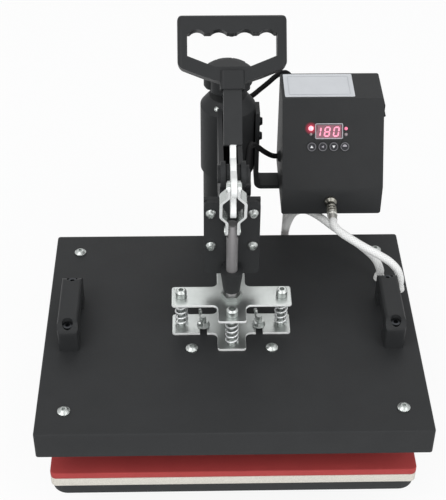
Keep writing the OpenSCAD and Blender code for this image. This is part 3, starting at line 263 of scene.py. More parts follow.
def placed(name, data):
    """A new object in the scene."""
    piece = bpy.data.objects.new(name, data)
    bpy.context.scene.collection.objects.link(piece)
    return piece


def mesh_piece(name, points, faces):
    """A new mesh object from points and faces."""
    mesh = bpy.data.meshes.new(name)
    mesh.from_pydata([tuple(p) for p in points], [], faces)
    mesh.update()
    return placed(name, mesh)


def block(name, low, high):
    """A box between two corners, ready to be shaped."""
    low, high = Vector(low), Vector(high)
    clear()
    bpy.ops.mesh.primitive_cube_add(size=1, location=(low + high) / 2)
    bpy.context.active_object.scale = high - low
    return made(name)


def cylinder(name, sides, radius, depth, place):
    """An upright cylinder round its middle, ready to be shaped."""
    clear()
    bpy.ops.mesh.primitive_cylinder_add(vertices=sides, radius=radius, depth=depth, location=place)
    return made(name)


def join(name, pieces):
    """One object from several."""
    only(pieces[0])
    for piece in pieces[1:]:
        piece.select_set(True)
    bpy.ops.object.join()
    return made(name)


def place_copies(name, pattern, places):
    """Copies of one modelled pattern, each with its own mesh, moved by a matrix and joined."""
    copies = []
    for matrix in places:
        copies.append(placed(name, pattern.data.copy()))
        copies[-1].data.transform(matrix)
    bpy.data.objects.remove(pattern)
    return join(name, copies)


def helix(name, sides, wire_radius, radius, turns, rise, steps):
    """A closed wire wound round the Z axis from Z 0, with one of its corners pointing outwards."""
    clear()
    bpy.ops.mesh.primitive_circle_add(
        radius=wire_radius, vertices=sides, location=(radius, 0, 0), rotation=(pi / 2, pi / 2, 0))
    wound = made(name)
    modify(wound, "SCREW", axis="Z", angle=2 * pi * turns, screw_offset=rise, iterations=1,
           steps=turns * steps, render_steps=turns * steps, use_merge_vertices=False)
    edit(wound)
    bpy.ops.mesh.fill_holes(sides=0)
    bpy.ops.mesh.select_all(action="SELECT")
    bpy.ops.mesh.normals_make_consistent(inside=False)
    clear()
    return wound


def flat_frame(name, low, high, corner, width):
    """A flat frame with rounded corners between two corners of its box."""
    piece = block(name, low, high)
    round_corners(piece, corner, 4)
    choose(piece, "FACE", along_z)
    bpy.ops.mesh.inset(thickness=width)
    bpy.ops.mesh.bridge_edge_loops()
    smooth(piece)
    return piece


def merged_copy(node, name):
    """A copy of a CAD node's mesh, with its loose triangles merged into flat faces."""
    piece = placed(name, NODES[node].data.copy())
    edit(piece)
    bpy.ops.mesh.remove_doubles(threshold=0.004 * MM)
    bpy.ops.mesh.dissolve_limited(angle_limit=radians(0.6))
    clear()
    return piece


def recolour(piece, finish, test):
    """A second finish on the faces that pass the test."""
    piece.data.materials.append(FINISHES[finish])
    for face in piece.data.polygons:
        if test(face):
            face.material_index = 1


def dress(piece, body, slot, finish, *nodes):
    """Gives a piece its finish and its body, and hides the CAD nodes that it stands for. Its slot is not
    used.
    """
    clear()
    piece.data.materials.clear()
    piece.data.materials.append(FINISHES[finish])
    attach(piece, body)
    if nodes:
        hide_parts(*nodes)


# Finishes


def add(tree, kind, inputs=None, **settings):
    """Adds one shader node of a kind with its settings, and fills or links its sockets."""
    node = tree.nodes.new("ShaderNode" + kind)
    for key, value in settings.items():
        setattr(node, key, value)
    return wire(tree, node, inputs or {})


def wire(tree, node, inputs):
    """Fills a node's sockets with values, or links them to outputs."""
    for key, value in inputs.items():
        if isinstance(value, bpy.types.NodeSocket):
            tree.links.new(value, node.inputs[key])
        else:
            node.inputs[key].default_value = value
    return node


def blank(name, **sockets):
    """A new material: its tree, its shader and its Object coordinates."""
    material = bpy.data.materials.new(name)
    material.use_nodes = True
    tree = material.node_tree
    shader = tree.nodes["Principled BSDF"]
    wire(tree, shader, sockets)
    where = add(tree, "TexCoord").outputs["Object"]
    return material, tree, shader, where


def give(tree, shader, tone, gloss, relief):
    """Joins colour, roughness and relief to a shader."""
    wire(tree, shader, {
        "Base Color": tone.outputs[2], "Roughness": gloss.outputs["Result"],
        "Normal": relief.outputs["Normal"]})


def surface(slot, name, dark, light, drift_mm, grain_mm, rough, bump, stretch=None, **sockets):
    """A finish of two close tones in soft clouds, with a grain that sets its gloss and relief."""
    dark, light = (linear(c) if isinstance(c, str) else c for c in (dark, light))
    material, tree, shader, where = blank(name, **sockets)
    clouds = add(tree, "TexNoise", {
        "Vector": where, "Scale": 1 / (drift_mm * MM), "Detail": 4.0, "Roughness": 0.6})
    tone = add(tree, "Mix", {0: clouds.outputs["Fac"], 6: (*dark, 1), 7: (*light, 1)}, data_type="RGBA")
    if stretch:
        where = add(tree, "Mapping", {"Vector": where, "Scale": stretch}).outputs["Vector"]
    grain = add(tree, "TexNoise", {"Vector": where, "Scale": 1 / (grain_mm * MM), "Detail": 2.0})
    gloss = add(tree, "MapRange", {
        "Value": grain.outputs["Fac"], "From Min": 0.3, "From Max": 0.7,
        "To Min": rough[0], "To Max": rough[1]})
    relief = add(tree, "Bump", {"Height": grain.outputs["Fac"], "Strength": bump, "Distance": 0.2 * MM})
    give(tree, shader, tone, gloss, relief)
    FINISHES[slot] = material


def tones(colour, *factors):
    """The same colour, lighter or darker by each factor."""
    return [tuple(min(1.0, c * factor) for c in colour) for factor in factors]


def make_finishes(colours):
    """All finishes of the press."""
    paint, plastic, zinc = colours.paint, colours.plastic, colours.zinc
    soft = {"Specular IOR Level": 0.15}
    # Black powder coat, baked: orange peel of about 1.4 mm breaks up a satin gloss.
    surface("black_paint", "black_powder_coat", *tones(paint, 0.9, 1.2), 40, 1.4, (0.48, 0.64), 0.16,
            **soft)
    # Cast bed with wrinkle paint: duller and coarser than the sheet's coat.
    surface("bed_casting", "wrinkle_paint", *tones(paint, 1.0, 1.4), 25, 1.0, (0.5, 0.66), 0.3, **soft)
    # Satin black enamel on the square lever stem.
    surface("stem_paint", "satin_enamel", *tones(paint, 0.95, 1.25), 20, 0.9, (0.42, 0.56), 0.12, **soft)
    # Bright zinc plate on pressed steel: grey-white metal in soft light and dark clouds.
    surface("zinc_steel", "bright_zinc_plate", *tones(zinc, 0.84, 1.06), 14, 1.2, (0.3, 0.42), 0.06,
            Metallic=1.0)
    # Barrel-polished zinc on the bent straps: clear enough to mirror the dark arm behind them.
    surface("polished_zinc", "polished_zinc", *tones(zinc, 0.98, 1.17), 10, 1.0, (0.2, 0.28), 0.04,
            Metallic=1.0)
    # Hard chrome on the ground ram: a clean grey mirror, softened by fine grinding rings.
    surface("chrome", "hard_chrome", "#9a9899", "#a6a4a5", 14, 1.2, (0.3, 0.38), 0.02, Metallic=0.6,
            stretch=(0.2, 0.2, 2.0))
    # Bare laser-cut steel of the crank, bead blasted and waxed: nearly white, without a mirror.
    surface("blasted_steel", "blasted_steel", "#dfe1e1", "#eceeed", 8, 0.9, (0.5, 0.62), 0.08,
            Metallic=0.25)
    # Black oxide on the handles' cap screws: oily dark steel.
    surface("black_oxide", "black_oxide", "#2f3032", "#45474a", 4, 0.6, (0.3, 0.42), 0.05, Metallic=1.0)
    # Nickel-plated brass of the lead's connector: warm grey and half bright.
    surface("plug_metal", "nickel_plate", "#77766f", "#99978f", 6, 0.6, (0.26, 0.4), 0.06, Metallic=1.0)
    # The same plate, polished by hand on the connector's collar.
    surface("bright_nickel", "bright_nickel", "#c4c3bd", "#dcdbd6", 6, 0.6, (0.26, 0.36), 0.05,
            Metallic=0.7)
    # Moulded ABS with a spark-eroded grain of about 0.7 mm: soft wide highlights.
    surface("black_plastic", "grained_abs", *tones(plastic, 0.9, 1.15), 30, 0.7, (0.4, 0.54), 0.2, **soft)
    # Smooth button plastic with a slightly uneven gloss.
    surface("button_plastic", "button_abs", "#26262a", "#323237", 5, 0.6, (0.3, 0.42), 0.08, **soft)
    # Nylon liner: waxy ivory.
    surface("liner", "nylon", "#d8d3c2", "#e6e2d4", 8, 0.8, (0.42, 0.52), 0.05)
    # Glass-epoxy circuit board: green and faintly mottled.
    surface("board", "glass_epoxy", "#1d5631", "#2a6a3e", 4, 0.9, (0.3, 0.45), 0.1)
    # Milled aluminium platen with a non-stick coat: grey with milling streaks along X.
    surface("heater_aluminium", "coated_aluminium", "#7d8083", "#9a9da0", 30, 1.2, (0.36, 0.5), 0.1,
            Metallic=0.8, stretch=(0.15, 2.0, 2.0))
    # Pressed mica board: brown, mottled like pressed flakes.
    surface("mica", "mica_board", "#8d7a58", "#b5a27b", 5, 1.5, (0.3, 0.5), 0.15)
    # Ceramic-fibre board: chalky cream.
    surface("insulation", "ceramic_fibre", "#d9d0b2", "#ece5cf", 6, 1.0, (0.8, 0.95), 0.35)
    # Moulded rubber feet: matt, dusty black.
    surface("foot_rubber", "moulded_rubber", "#1d1d1e", "#2b2b2c", 12, 0.8, (0.66, 0.8), 0.2)
    # White nylon grommet: slightly waxy.
    surface("white_grommet", "white_nylon", "#e3e4e3", "#f1f2f1", 8, 0.8, (0.38, 0.5), 0.05)
    # Black PVC lead: smooth, with a soft gloss.
    surface("black_lead", "black_pvc", "#131314", "#1c1c1d", 15, 1.2, (0.56, 0.7), 0.06,
            **{"Specular IOR Level": 0.06})
    FINISHES["silicone"] = red_silicone(colours)
    FINISHES["foam"] = silicone_foam(colours)
    FINISHES["white_sleeving"] = glass_sleeving(colours)
    FINISHES["window"] = display_filter()
    # Spring steel, zinc plated: brighter than the plates, with a fine grain.
    surface("spring_wire", "spring_steel", "#c3c6c7", "#e2e4e4", 5, 0.5, (0.24, 0.36), 0.04, Metallic=0.8)
    # Satin silver foil plate, left blank.
    surface("foil_plate", "satin_foil", "#bbbec2", "#c7cace", 18, 0.7, (0.42, 0.56), 0.06, Metallic=0.35,
            stretch=(0.1, 2.0, 2.0))
    # White print of the two bright signs.
    surface("white_print", "white_print", "#dfe0e2", "#eeeff0", 3, 0.5, (0.4, 0.5), 0.03)
    # Grey line printed round the blank plate.
    surface("plate_print", "plate_print", "#a9acb1", "#b6b9bd", 6, 0.5, (0.45, 0.55), 0.03)
    # Pale grey print: the line round the display and the two duller signs of the buttons.
    surface("grey_print", "grey_print", "#9a979e", "#aeabb2", 3, 0.5, (0.4, 0.52), 0.04)
    # Dark grey rim moulded on each button.
    surface("ring_print", "ring_print", "#626266", "#707074", 3, 0.5, (0.4, 0.52), 0.04)
    pale = linear("#ee6c90")
    FINISHES["lit"] = lit_plastic("lit_digits", linear("#ffd6e4"), pale, 0.65)
    FINISHES["lamp"] = lit_plastic("lit_lamp", linear("#ffe4e2"), colours.glow, 1.8)
    FINISHES["small_lamp"] = lit_plastic("lit_small_lamp", linear("#ffb0be"), pale, 0.5)
    # Painted light: the large lamp's glow painted on the black acrylic round it, fading outwards.
    FINISHES["lamp_bezel"] = painted_lamp_spill(colours)
    # Unlit lens: cloudy pink-grey.
    surface("dim_lamp", "unlit_lamp", "#8d8387", "#a3999d", 2, 0.5, (0.2, 0.3), 0.02)


def red_silicone(colours):
    """Silicone rubber sheet: matt, clouded red with fine pores."""
    dark, light = tones(colours.silicone, 0.86, 1.12)
    material, tree, shader, where = blank("red_silicone", **{"Specular IOR Level": 0.35})
    clouds = add(tree, "TexNoise", {
        "Vector": where, "Scale": 1 / (30 * MM), "Detail": 5.0, "Roughness": 0.65})
    tone = add(tree, "Mix", {0: clouds.outputs["Fac"], 6: (*dark, 1), 7: (*light, 1)}, data_type="RGBA")
    pores = add(tree, "TexVoronoi", {"Vector": where, "Scale": 1 / (1.3 * MM)})
    dull = add(tree, "MapRange", {"Value": pores.outputs["Distance"], "To Min": 0.6, "To Max": 0.78})
    relief = add(tree, "Bump", {
        "Height": pores.outputs["Distance"], "Strength": 0.22, "Distance": 0.2 * MM})
    give(tree, shader, tone, dull, relief)
    return material


def silicone_foam(colours):
    """Closed-cell silicone foam: chalk white, with cells of about 1.5 mm cut open on its sides, and
    painted shade in their hollows.
    """
    dark, light = tones(colours.foam, 0.86, 1.05)
    material, tree, shader, where = blank("silicone_foam", **{"Specular IOR Level": 0.25})
    cells = add(tree, "TexVoronoi", {"Vector": where, "Scale": 1 / (1.5 * MM)})
    depth = add(tree, "MapRange", {"Value": cells.outputs["Distance"], "From Max": 0.7})
    # Painted shade: the colour darkens towards the hollow middle of each cell.
    tone = add(tree, "Mix", {
        0: depth.outputs["Result"], 6: (*dark, 1), 7: (*light, 1)}, data_type="RGBA")
    dull = add(tree, "MapRange", {"Value": cells.outputs["Distance"], "To Min": 0.75, "To Max": 0.92})
    relief = add(tree, "Bump", {
        "Height": depth.outputs["Result"], "Strength": 0.35, "Distance": 0.3 * MM})
    give(tree, shader, tone, dull, relief)
    return material


def glass_sleeving(colours):
    """Glass-fibre sleeving: two sets of strands wound against each other, white and slightly silky, with
    painted shade in the grooves between them.
    One UV unit is one stitch, so the braid closes round the lead."""
    dark, light = tones(colours.sleeving, 0.8, 1)
    material, tree, shader, _ = blank("glass_fibre_sleeving", **{"Sheen Weight": 0.2})
    uv = add(tree, "TexCoord").outputs["UV"]
    split = add(tree, "SeparateXYZ", {0: uv})
    strands = []
    for turn in ("ADD", "SUBTRACT"):
        lay = add(tree, "Math", {0: split.outputs["X"], 1: split.outputs["Y"]}, operation=turn)
        angle = add(tree, "Math", {0: lay.outputs[0], 1: 2 * pi}, operation="MULTIPLY")
        strands.append(add(tree, "Math", {0: angle.outputs[0]}, operation="SINE"))
    braid = add(tree, "Math", {0: strands[0].outputs[0], 1: strands[1].outputs[0]}, operation="MAXIMUM")
    height = add(tree, "MapRange", {"Value": braid.outputs[0], "From Min": -1.0})
    # Painted shade: the colour darkens to the darker tone where the braid is low, between the strands.
    tone = add(tree, "Mix", {
        0: height.outputs["Result"], 6: (*dark, 1), 7: (*light, 1)}, data_type="RGBA")
    dull = add(tree, "MapRange", {"Value": height.outputs["Result"], "To Min": 0.75, "To Max": 0.5})
    relief = add(tree, "Bump", {
        "Height": height.outputs["Result"], "Strength": 0.5, "Distance": 0.4 * MM})
    give(tree, shader, tone, dull, relief)
    return material


def display_filter():
    """Red acrylic filter in front of the digits, with an uneven glow from their light."""
    material, tree, shader, where = blank(
        "red_acrylic", Roughness=0.12, **{"Base Color": (*linear("#452a32"), 1)})
    spread = add(tree, "TexNoise", {"Vector": where, "Scale": 1 / (9 * MM)})
    light = add(tree, "MapRange", {"Value": spread.outputs["Fac"], "To Min": 0.3, "To Max": 0.8})
    wire(tree, shader, {
        "Emission Color": (*linear("#8c3a52"), 1), "Emission Strength": light.outputs["Result"]})
    return material


def lit_plastic(name, core, rim, strength):
    """A lit lamp or digit: pale in soft patches, and in the lamp's colour between them."""
    material, tree, shader, where = blank(name, Roughness=0.3)
    spread = add(tree, "TexNoise", {"Vector": where, "Scale": 1 / (4 * MM)})
    edge = tones(rim, 1.4)[0]
    tone = add(tree, "Mix", {0: spread.outputs["Fac"], 6: (*core, 1), 7: (*edge, 1)}, data_type="RGBA")
    wire(tree, shader, {
        "Base Color": (*rim, 1), "Emission Color": tone.outputs[2], "Emission Strength": strength})
    return material


def painted_lamp_spill(colours):
    """Black acrylic round the lamp, with the lamp's light painted on it as a glow that fades from its rim
    outwards.
    """
    material, tree, shader, where = blank("lamp_acrylic", Roughness=0.46, **{
        "Base Color": (*colours.plastic, 1), "Specular IOR Level": 0.15})
    middle = PANEL @ Vector((*LAMP, 0))
    away = add(tree, "VectorMath", {0: where, 1: middle}, operation="DISTANCE")
    light = add(tree, "MapRange", {
        "Value": away.outputs["Value"], "From Min": GLOW, "From Max": SPILL,
        "To Min": 0.55, "To Max": 0.0})
    wire(tree, shader, {
        "Emission Color": (*colours.glow, 1), "Emission Strength": light.outputs["Result"]})
    return material


# Operators


def seen_directly(tree):
    """1 where the white background is seen, also in metal and through glass, and 0 where it lights."""
    seen = add(tree, "LightPath")
    total = seen.outputs["Is Camera Ray"]
    for key in ("Is Glossy Ray", "Is Transmission Ray"):
        total = add(tree, "Math", {0: total, 1: seen.outputs[key]}, operation="MAXIMUM").outputs[0]
    return total


class PRESS_OT_stage(bpy.types.Operator):
    """Camera at the photograph's angle, pale floor and soft studio light"""

    bl_idname = "press.stage"
    bl_label = "Stage"

    def execute(self, context):
        scene = context.scene
        stage = scene.press_stage
        scene.view_settings.view_transform = "Standard"
        camera = bpy.data.cameras.new("camera")
        camera.sensor_fit = "HORIZONTAL"
        camera.sensor_width = 36
        camera.lens = stage.lens
        scene.camera = placed("camera", camera)
        view = Matrix.Translation(CAMERA_PLACE)
        for degrees, axis in CAMERA_TURNS:
            view = view @ Matrix.Rotation(radians(degrees), 4, axis)
        scene.camera.matrix_world = view
        target = Vector((0, 0, 0.15))
        for name, size, place in (
                ("key", 1.3, (-1.0, -0.9, 1.9)), ("fill", 1.2, (1.3, -1.0, 1.4)),
                ("front", 1.4, (0.15, -2.3, 0.75)), ("back", 1.0, (0.1, 1.3, 1.7))):
            lamp = bpy.data.lights.new(name, "AREA")
            lamp.energy = getattr(stage, name)
            lamp.size = size
            light = placed(name, lamp)
            light.location = place
            aim = target - Vector(place)
            light.rotation_euler = aim.to_track_quat("-Z", "Y").to_euler()
        clear()
        bpy.ops.mesh.primitive_plane_add(size=9)
        floor = made("floor")
        material, tree, shader, _ = blank("pale_floor", Roughness=0.9, **{
            "Base Color": (*stage.floor, 1), "Specular IOR Level": 0.1})
        white = add(tree, "Emission", {"Color": (1, 1, 1, 1), "Strength": 1.0})
        share = add(tree, "Math", {0: seen_directly(tree), 1: 0.9}, operation="MULTIPLY")
        mixed = add(tree, "MixShader", {0: share.outputs[0], 1: shader.outputs[0], 2: white.outputs[0]})
        wire(tree, tree.nodes["Material Output"], {"Surface": mixed.outputs[0]})
        floor.data.materials.append(material)
        world = bpy.data.worlds.new("studio")
        world.use_nodes = True
        scene.world = world
        tree = world.node_tree
        strength = add(tree, "MapRange", {"Value": seen_directly(tree), "To Min": 0.55, "To Max": 1.0})
        wire(tree, tree.nodes["Background"], {
            "Color": (1, 1, 1, 1), "Strength": strength.outputs["Result"]})
        return {"FINISHED"}


def smooth_route(points, steps):
    """A smooth curve through a route's points, given in millimetres from the ram's axis."""
    ends = [ram_point(*p) for p in points]
    ends = [2 * ends[0] - ends[1], *ends, 2 * ends[-1] - ends[-2]]
    curve = []
    for i in range(1, len(ends) - 2):
        a, b, c, d = ends[i - 1:i + 3]
        for k in range(steps):
            t = k / steps
            curve.append(0.5 * (2 * b + (c - a) * t + (2 * a - 5 * b + 4 * c - d) * t ** 2
                                + (3 * b - a - 3 * c + d) * t ** 3))
    curve.append(ends[-2])
    return curve


def sweep(name, path, radius, sides, stitches):
    """A round tube along a path, closed at both ends, with one UV unit for each stitch."""
    along = [(path[min(i + 1, len(path) - 1)] - path[max(i - 1, 0)]).normalized()
             for i in range(len(path))]
    side = along[0].orthogonal().normalized()
    points, run, runs = [], 0.0, []
    for i, centre in enumerate(path):
        side = (side - side.dot(along[i]) * along[i]).normalized()
        up = along[i].cross(side)
        if i:
            run += (centre - path[i - 1]).length
        runs.append(run)
        points += [centre + radius * (cos(2 * pi * k / sides) * side + sin(2 * pi * k / sides) * up)
                   for k in range(sides)]
    rings = len(path)
    faces = [[i * sides + k, i * sides + (k + 1) % sides,
              (i + 1) * sides + (k + 1) % sides, (i + 1) * sides + k]
             for i in range(rings - 1) for k in range(sides)]
    faces.append(list(range(sides))[::-1])
    faces.append([(rings - 1) * sides + k for k in range(sides)])
    piece = mesh_piece(name, points, faces)
    layer = piece.data.uv_layers.new(name="stitches")
    stitch = 2 * pi * radius / stitches
    for polygon in piece.data.polygons[:(rings - 1) * sides]:
        row, k = divmod(polygon.index, sides)
        corners = ((row, k), (row, k + 1), (row + 1, k + 1), (row + 1, k))
        for loop, (at, turn) in zip(polygon.loop_indices, corners):
            layer.data[loop].uv = (turn / sides * stitches, runs[at] / stitch)
    smooth(piece, 60)
    return piece, run


# The routes of part.scad, in millimetres from the ram's axis.
PLUG_ROUTE = (
    (190, 56, 162), (190, 56, 172), (186, 58, 184), (176, 60, 195), (162, 62, 204), (147, 65, 212),
    (133, 70, 219), (122, 75.75, 224), (115, 84.75, 227), (115, 92.75, 227))
HEATER_ROUTE = (
    (170, 75, 162), (170, 75, 170), (164, 83, 180), (150, 97, 186), (134, 111, 190), (118, 125, 194),
    (103, 140, 197), (90, 153, 195), (79, 163, 184), (73, 169, 167), (70, 173, 149), (70, 180, 133),
    (71, 194, 126), (73, 208, 133), (74, 216, 153), (74, 217, 175), (74, 217, 199.75))
SWITCH_ROUTE = (
    (16, 58, 317), (16, 66, 317), (18, 82, 318), (20, 100, 318), (23, 120, 311), (27, 138, 298),
    (33, 152, 285), (40, 162.5, 272), (45, 170, 263.5), (49.5, 175, 257.5), (53.5, 177, 255),
    (57, 177, 255))
EARTH_ROUTE = (
    (77, 230, 315), (77, 236, 315), (75, 242, 318), (68, 246, 323.5), (58, 245, 320.5), (48, 240, 314),
    (38, 234, 308.5), (30.03, 225.03, 307), (25.03, 220.03, 307), (22.03, 217.03, 307))


class PRESS_OT_leads(bpy.types.Operator):
    """White sleeved leads of the heater and black leads of the control box"""

    bl_idname = "press.leads"
    bl_label = "Leads"

    def execute(self, context):
        stitches = context.scene.press_sizes.braid_stitches
        for name, route, diameter, slot, node in (
                ("plug_lead_sleeve", PLUG_ROUTE, 9 * MM, "white_sleeving", "plug_lead"),
                ("heater_lead_sleeve", HEATER_ROUTE, 9 * MM, "white_sleeving", "heater_lead"),
                ("switch_lead_flex", SWITCH_ROUTE, 6 * MM, "black_lead", "switch_lead"),
                ("earth_lead_flex", EARTH_ROUTE, 6 * MM, "black_lead", "earth_lead")):
            path = smooth_route(route, steps=5)
            piece, run = sweep(name, path, diameter / 2, 20, stitches)
            piece.data.materials.append(FINISHES[slot])
            if slot == "white_sleeving":
                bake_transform(piece)
            else:
                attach(piece, "arm")
            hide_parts(node)
        return {"FINISHED"}


class PRESS_OT_pads(bpy.types.Operator):
    """Red silicone pad and the white foam under it"""

    bl_idname = "press.pads"
    bl_label = "Pads"

    def execute(self, context):
        edge = context.scene.press_sizes.pad_edge
        corner = 6 * MM
        for name, node, width in (
                ("red_pad", "silicone_pad", edge), ("foam_sheet", "foam_layer", edge * 0.6)):
            pad = block(name, *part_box(node))
            round_corners(pad, corner, 8)
            ease(pad, width, 4, along_z)
            smooth(pad, 50)
            dress(pad, "base", SLOT_OF[node], SLOT_OF[node], node)
        return {"FINISHED"}


# The head springs of part.scad: ends and radius of the wire's middle, and their places round the ram.
SPRING_FOOT, SPRING_TOP, SPRING_RADIUS, SPRING_TURNS = 161.15, 195.85, 6.2, 5
SPRING_SPOTS = ((53.5, 0), (-53.5, 0), (0, 30), (0, -30))


class PRESS_OT_springs(bpy.types.Operator):
    """Four helical springs between the cross plates"""

    bl_idname = "press.springs"
    bl_label = "Springs"

    def execute(self, context):
        wire_d = context.scene.press_sizes.wire
        coil = helix("head_spring_coils", 14, wire_d / 2, SPRING_RADIUS * MM, SPRING_TURNS,
                     (SPRING_TOP - SPRING_FOOT) * MM, steps=28)
        places = [Matrix.Translation(ram_point(x, y, SPRING_FOOT)) for x, y in SPRING_SPOTS]
        coils = place_copies("head_spring_coils", coil, places)
        smooth(coils, 60)
        dress(coils, "platen", "zinc_steel", "spring_wire", "head_springs")
        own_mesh(coils)
        return {"FINISHED"}


class PRESS_OT_cover(bpy.types.Operator):
    """Folded sheet cover of the heated platen"""

    bl_idname = "press.cover"
    bl_label = "Platen cover"

    def execute(self, context):
        fold = context.scene.press_sizes.sheet_edge
        corner, sheet = 3 * MM, 1.2 * MM
        cover = block("folded_cover", *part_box("heater_cover"))
        round_corners(cover, corner, 5)
        ease(cover, fold, 5, upward)
        choose(cover, "FACE", lambda way: way.z < -0.9)
        bpy.ops.mesh.delete(type="FACE")
        modify(cover, "SOLIDIFY", thickness=sheet, offset=-1.0)
        smooth(cover, 40)
        dress(cover, "platen", "black_paint", "black_paint", "heater_cover")
        return {"FINISHED"}


SEGMENTS = {"1": "bc", "8": "abcdefg", "0": "abcdef"}


def digit_mesh(name, figure, height, at_x, at_y):
    """A slanted seven-segment digit on the panel, each segment a six-sided bar."""
    w, h, t = height * DIGIT_WIDTH, height, height * DIGIT_BAR
    spans = {
        "a": ((0, h), (w, h)), "b": ((w, h), (w, h / 2)), "c": ((w, h / 2), (w, 0)),
        "d": ((0, 0), (w, 0)), "e": ((0, h / 2), (0, 0)), "f": ((0, h), (0, h / 2)),
        "g": ((0, h / 2), (w, h / 2))}
    points, faces = [], []
    for key in SEGMENTS[figure]:
        one, two = (Vector(p) for p in spans[key])
        run = (two - one).normalized()
        side = Vector((-run.y, run.x)) * t / 2
        gap, tip = run * t * DIGIT_GAP, run * t / 2
        one, two = one + gap, two - gap
        outline = (one, one + tip + side, two - tip + side, two, two - tip - side, one + tip - side)
        start = len(points)
        points += [
            Vector((p.x - w / 2 + DIGIT_SLANT * (p.y - h / 2) + at_x, p.y - h / 2 + at_y, 0))
            for p in outline]
        faces.append(list(range(start, start + 6))[::-1])
    piece = mesh_piece(name, points, faces)
    modify(piece, "SOLIDIFY", thickness=0.25 * MM, offset=0.0)
    return piece


def flat_sign(name, outline, lift):
    """A flat sign from a closed outline on the panel, a little proud of it."""
    piece = mesh_piece(name, [Vector((x * MM, y * MM, lift)) for x, y in outline],
                       [list(range(len(outline)))])
    modify(piece, "SOLIDIFY", thickness=0.15 * MM, offset=0.0)
    return piece


def ring(name, x, y, radius, wire_radius):
    """A thin raised ring on the panel."""
    clear()
    bpy.ops.mesh.primitive_torus_add(
        location=(x, y, 0), major_radius=radius, minor_radius=wire_radius,
        major_segments=40, minor_segments=8)
    return made(name)


def dome(name, x, y, radius):
    """A lamp's lens: half a ball on the panel."""
    clear()
    bpy.ops.mesh.primitive_uv_sphere_add(
        location=(x, y, 0), radius=radius, segments=24, ring_count=12)
    lens = made(name)
    edit(lens)
    bpy.ops.mesh.bisect(plane_co=(0, 0, -0.1 * MM), plane_no=(0, 0, 1), clear_inner=True,
                        use_fill=True)
    smooth(lens, 60)
    return lens


def front_of(node):
    """How far a node stands out of the panel's plane."""
    return max((v.co - PANEL_FOOT).dot(PANEL_OUT) for v in NODES[node].data.vertices)


class PRESS_OT_face(bpy.types.Operator):
    """Digits and frames of the display, lamps, and rings and signs of the buttons"""

    bl_idname = "press.face"
    bl_label = "Control panel"

    def execute(self, context):
        sizes = context.scene.press_sizes
        glass = front_of("display_window")
        digits = []
        for i, figure in enumerate("180"):
            digit = digit_mesh(f"digit_{i}", figure, sizes.digit,
                               WINDOW.x - 1.2 * MM + (i - 1) * sizes.digit_pitch, WINDOW.y)
            digit.data.transform(PANEL @ Matrix.Translation((0, 0, glass + 0.05 * MM)))
            digits.append(digit)
        dress(join("display_digits", digits), "arm", "window", "lit")
        # A black flange covers the window's rim, with the large lamp's light painted on it near the lamp,
        # and a pale line is printed along its opening.
        for name, half, thick, width, shift, finish in (
                ("display_flange", (17.0, 10.0), 0.9, 2.4, (0, 0), "lamp_bezel"),
                ("display_bezel", (15.5, 8.7), 1.0, 1.1, (0.8, 0.7), "grey_print")):
            low, high = Vector((-half[0], -half[1], 0)), Vector((*half, thick))
            bezel = flat_frame(name, low * MM, high * MM, 1.6 * MM, width * MM)
            bezel.data.transform(PANEL @ Matrix.Translation(WINDOW + Vector((*shift, 0)) * MM))
            dress(bezel, "arm", "black_plastic", finish)
        # A thin disc round the large lamp that carries a painted pool of the lamp's light on the panel.
        spill = cylinder("lamp_bezel", 40, SPILL, 0.3 * MM, (*LAMP, 0.15 * MM))
        ease(spill, 0.2 * MM, 2, upward)
        spill.data.transform(PANEL)
        smooth(spill)
        dress(spill, "arm", "window", "lamp_bezel")
        for name, x, y, radius, finish in (
                ("lit_lamp", *LAMP, 2.9, "lamp"),
                ("unlit_lamp_left", LAMP.x, LAMP.y - 6.6 * MM, 1.7, "dim_lamp"),
                ("small_lamp", 14.2 * MM, 66 * MM, 1.9, "small_lamp"),
                ("unlit_lamp", 14.2 * MM, 59.5 * MM, 2.0, "dim_lamp")):
            lens = dome(name, x, y, radius * MM)
            lens.data.transform(PANEL)
            dress(lens, "arm", "window", finish)
        half_disc = [(cos(radians(a)) * 2.4, sin(radians(a)) * 2.4) for a in range(0, 181, 15)]
        signs = (
            ("up", ((-1.8, -1.3), (1.8, -1.3), (0, 1.7)), "white_print"),
            ("cycle", ((-1.5, 0), (1.2, -1.4), (1.2, 1.4)), "grey_print"),
            ("down", ((-1.8, 1.3), (0, -1.7), (1.8, 1.3)), "white_print"),
            ("set", half_disc, "grey_print"))
        for x, (key, outline, finish) in zip(BUTTON_SPOTS, signs):
            node = f"button_{key}"
            lift = front_of(node)
            sign = flat_sign(f"sign_{key}", outline, lift)
            sign.data.transform(PANEL @ Matrix.Translation((x, BUTTON_ROW, 0)))
            dress(sign, node, "button_plastic", finish)
            rim = ring(f"ring_{key}", x, BUTTON_ROW, 4.4 * MM, 0.55 * MM)
            rim.data.transform(PANEL @ Matrix.Translation((0, 0, lift)))
            smooth(rim, 60)
            dress(rim, node, "button_plastic", "ring_print")
        return {"FINISHED"}


class PRESS_OT_plate(bpy.types.Operator):
    """Blank foil plate on top of the control box"""

    bl_idname = "press.plate"
    bl_label = "Blank plate"

    def execute(self, context):
        low, high = ram_point(63, 181, 0), ram_point(141, 228, 0)
        low.z = high.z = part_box("control_box_shell")[1].z
        plate = block("blank_plate", low, high + Vector((0, 0, 0.35)) * MM)
        round_corners(plate, 1.5 * MM, 4)
        choose(plate, "FACE", upward)
        bpy.ops.mesh.inset(thickness=0.8 * MM, depth=-0.08 * MM)
        dress(plate, "arm", "zinc_steel", "foil_plate")
        inset, lift = Vector((4.5, 4.5, 0)) * MM, Vector((0, 0, 0.2)) * MM
        line = flat_frame("plate_border", low + inset + lift, high - inset + 2 * lift,
                          1.5 * MM, 0.9 * MM)
        dress(line, "arm", "zinc_steel", "plate_print")
        return {"FINISHED"}


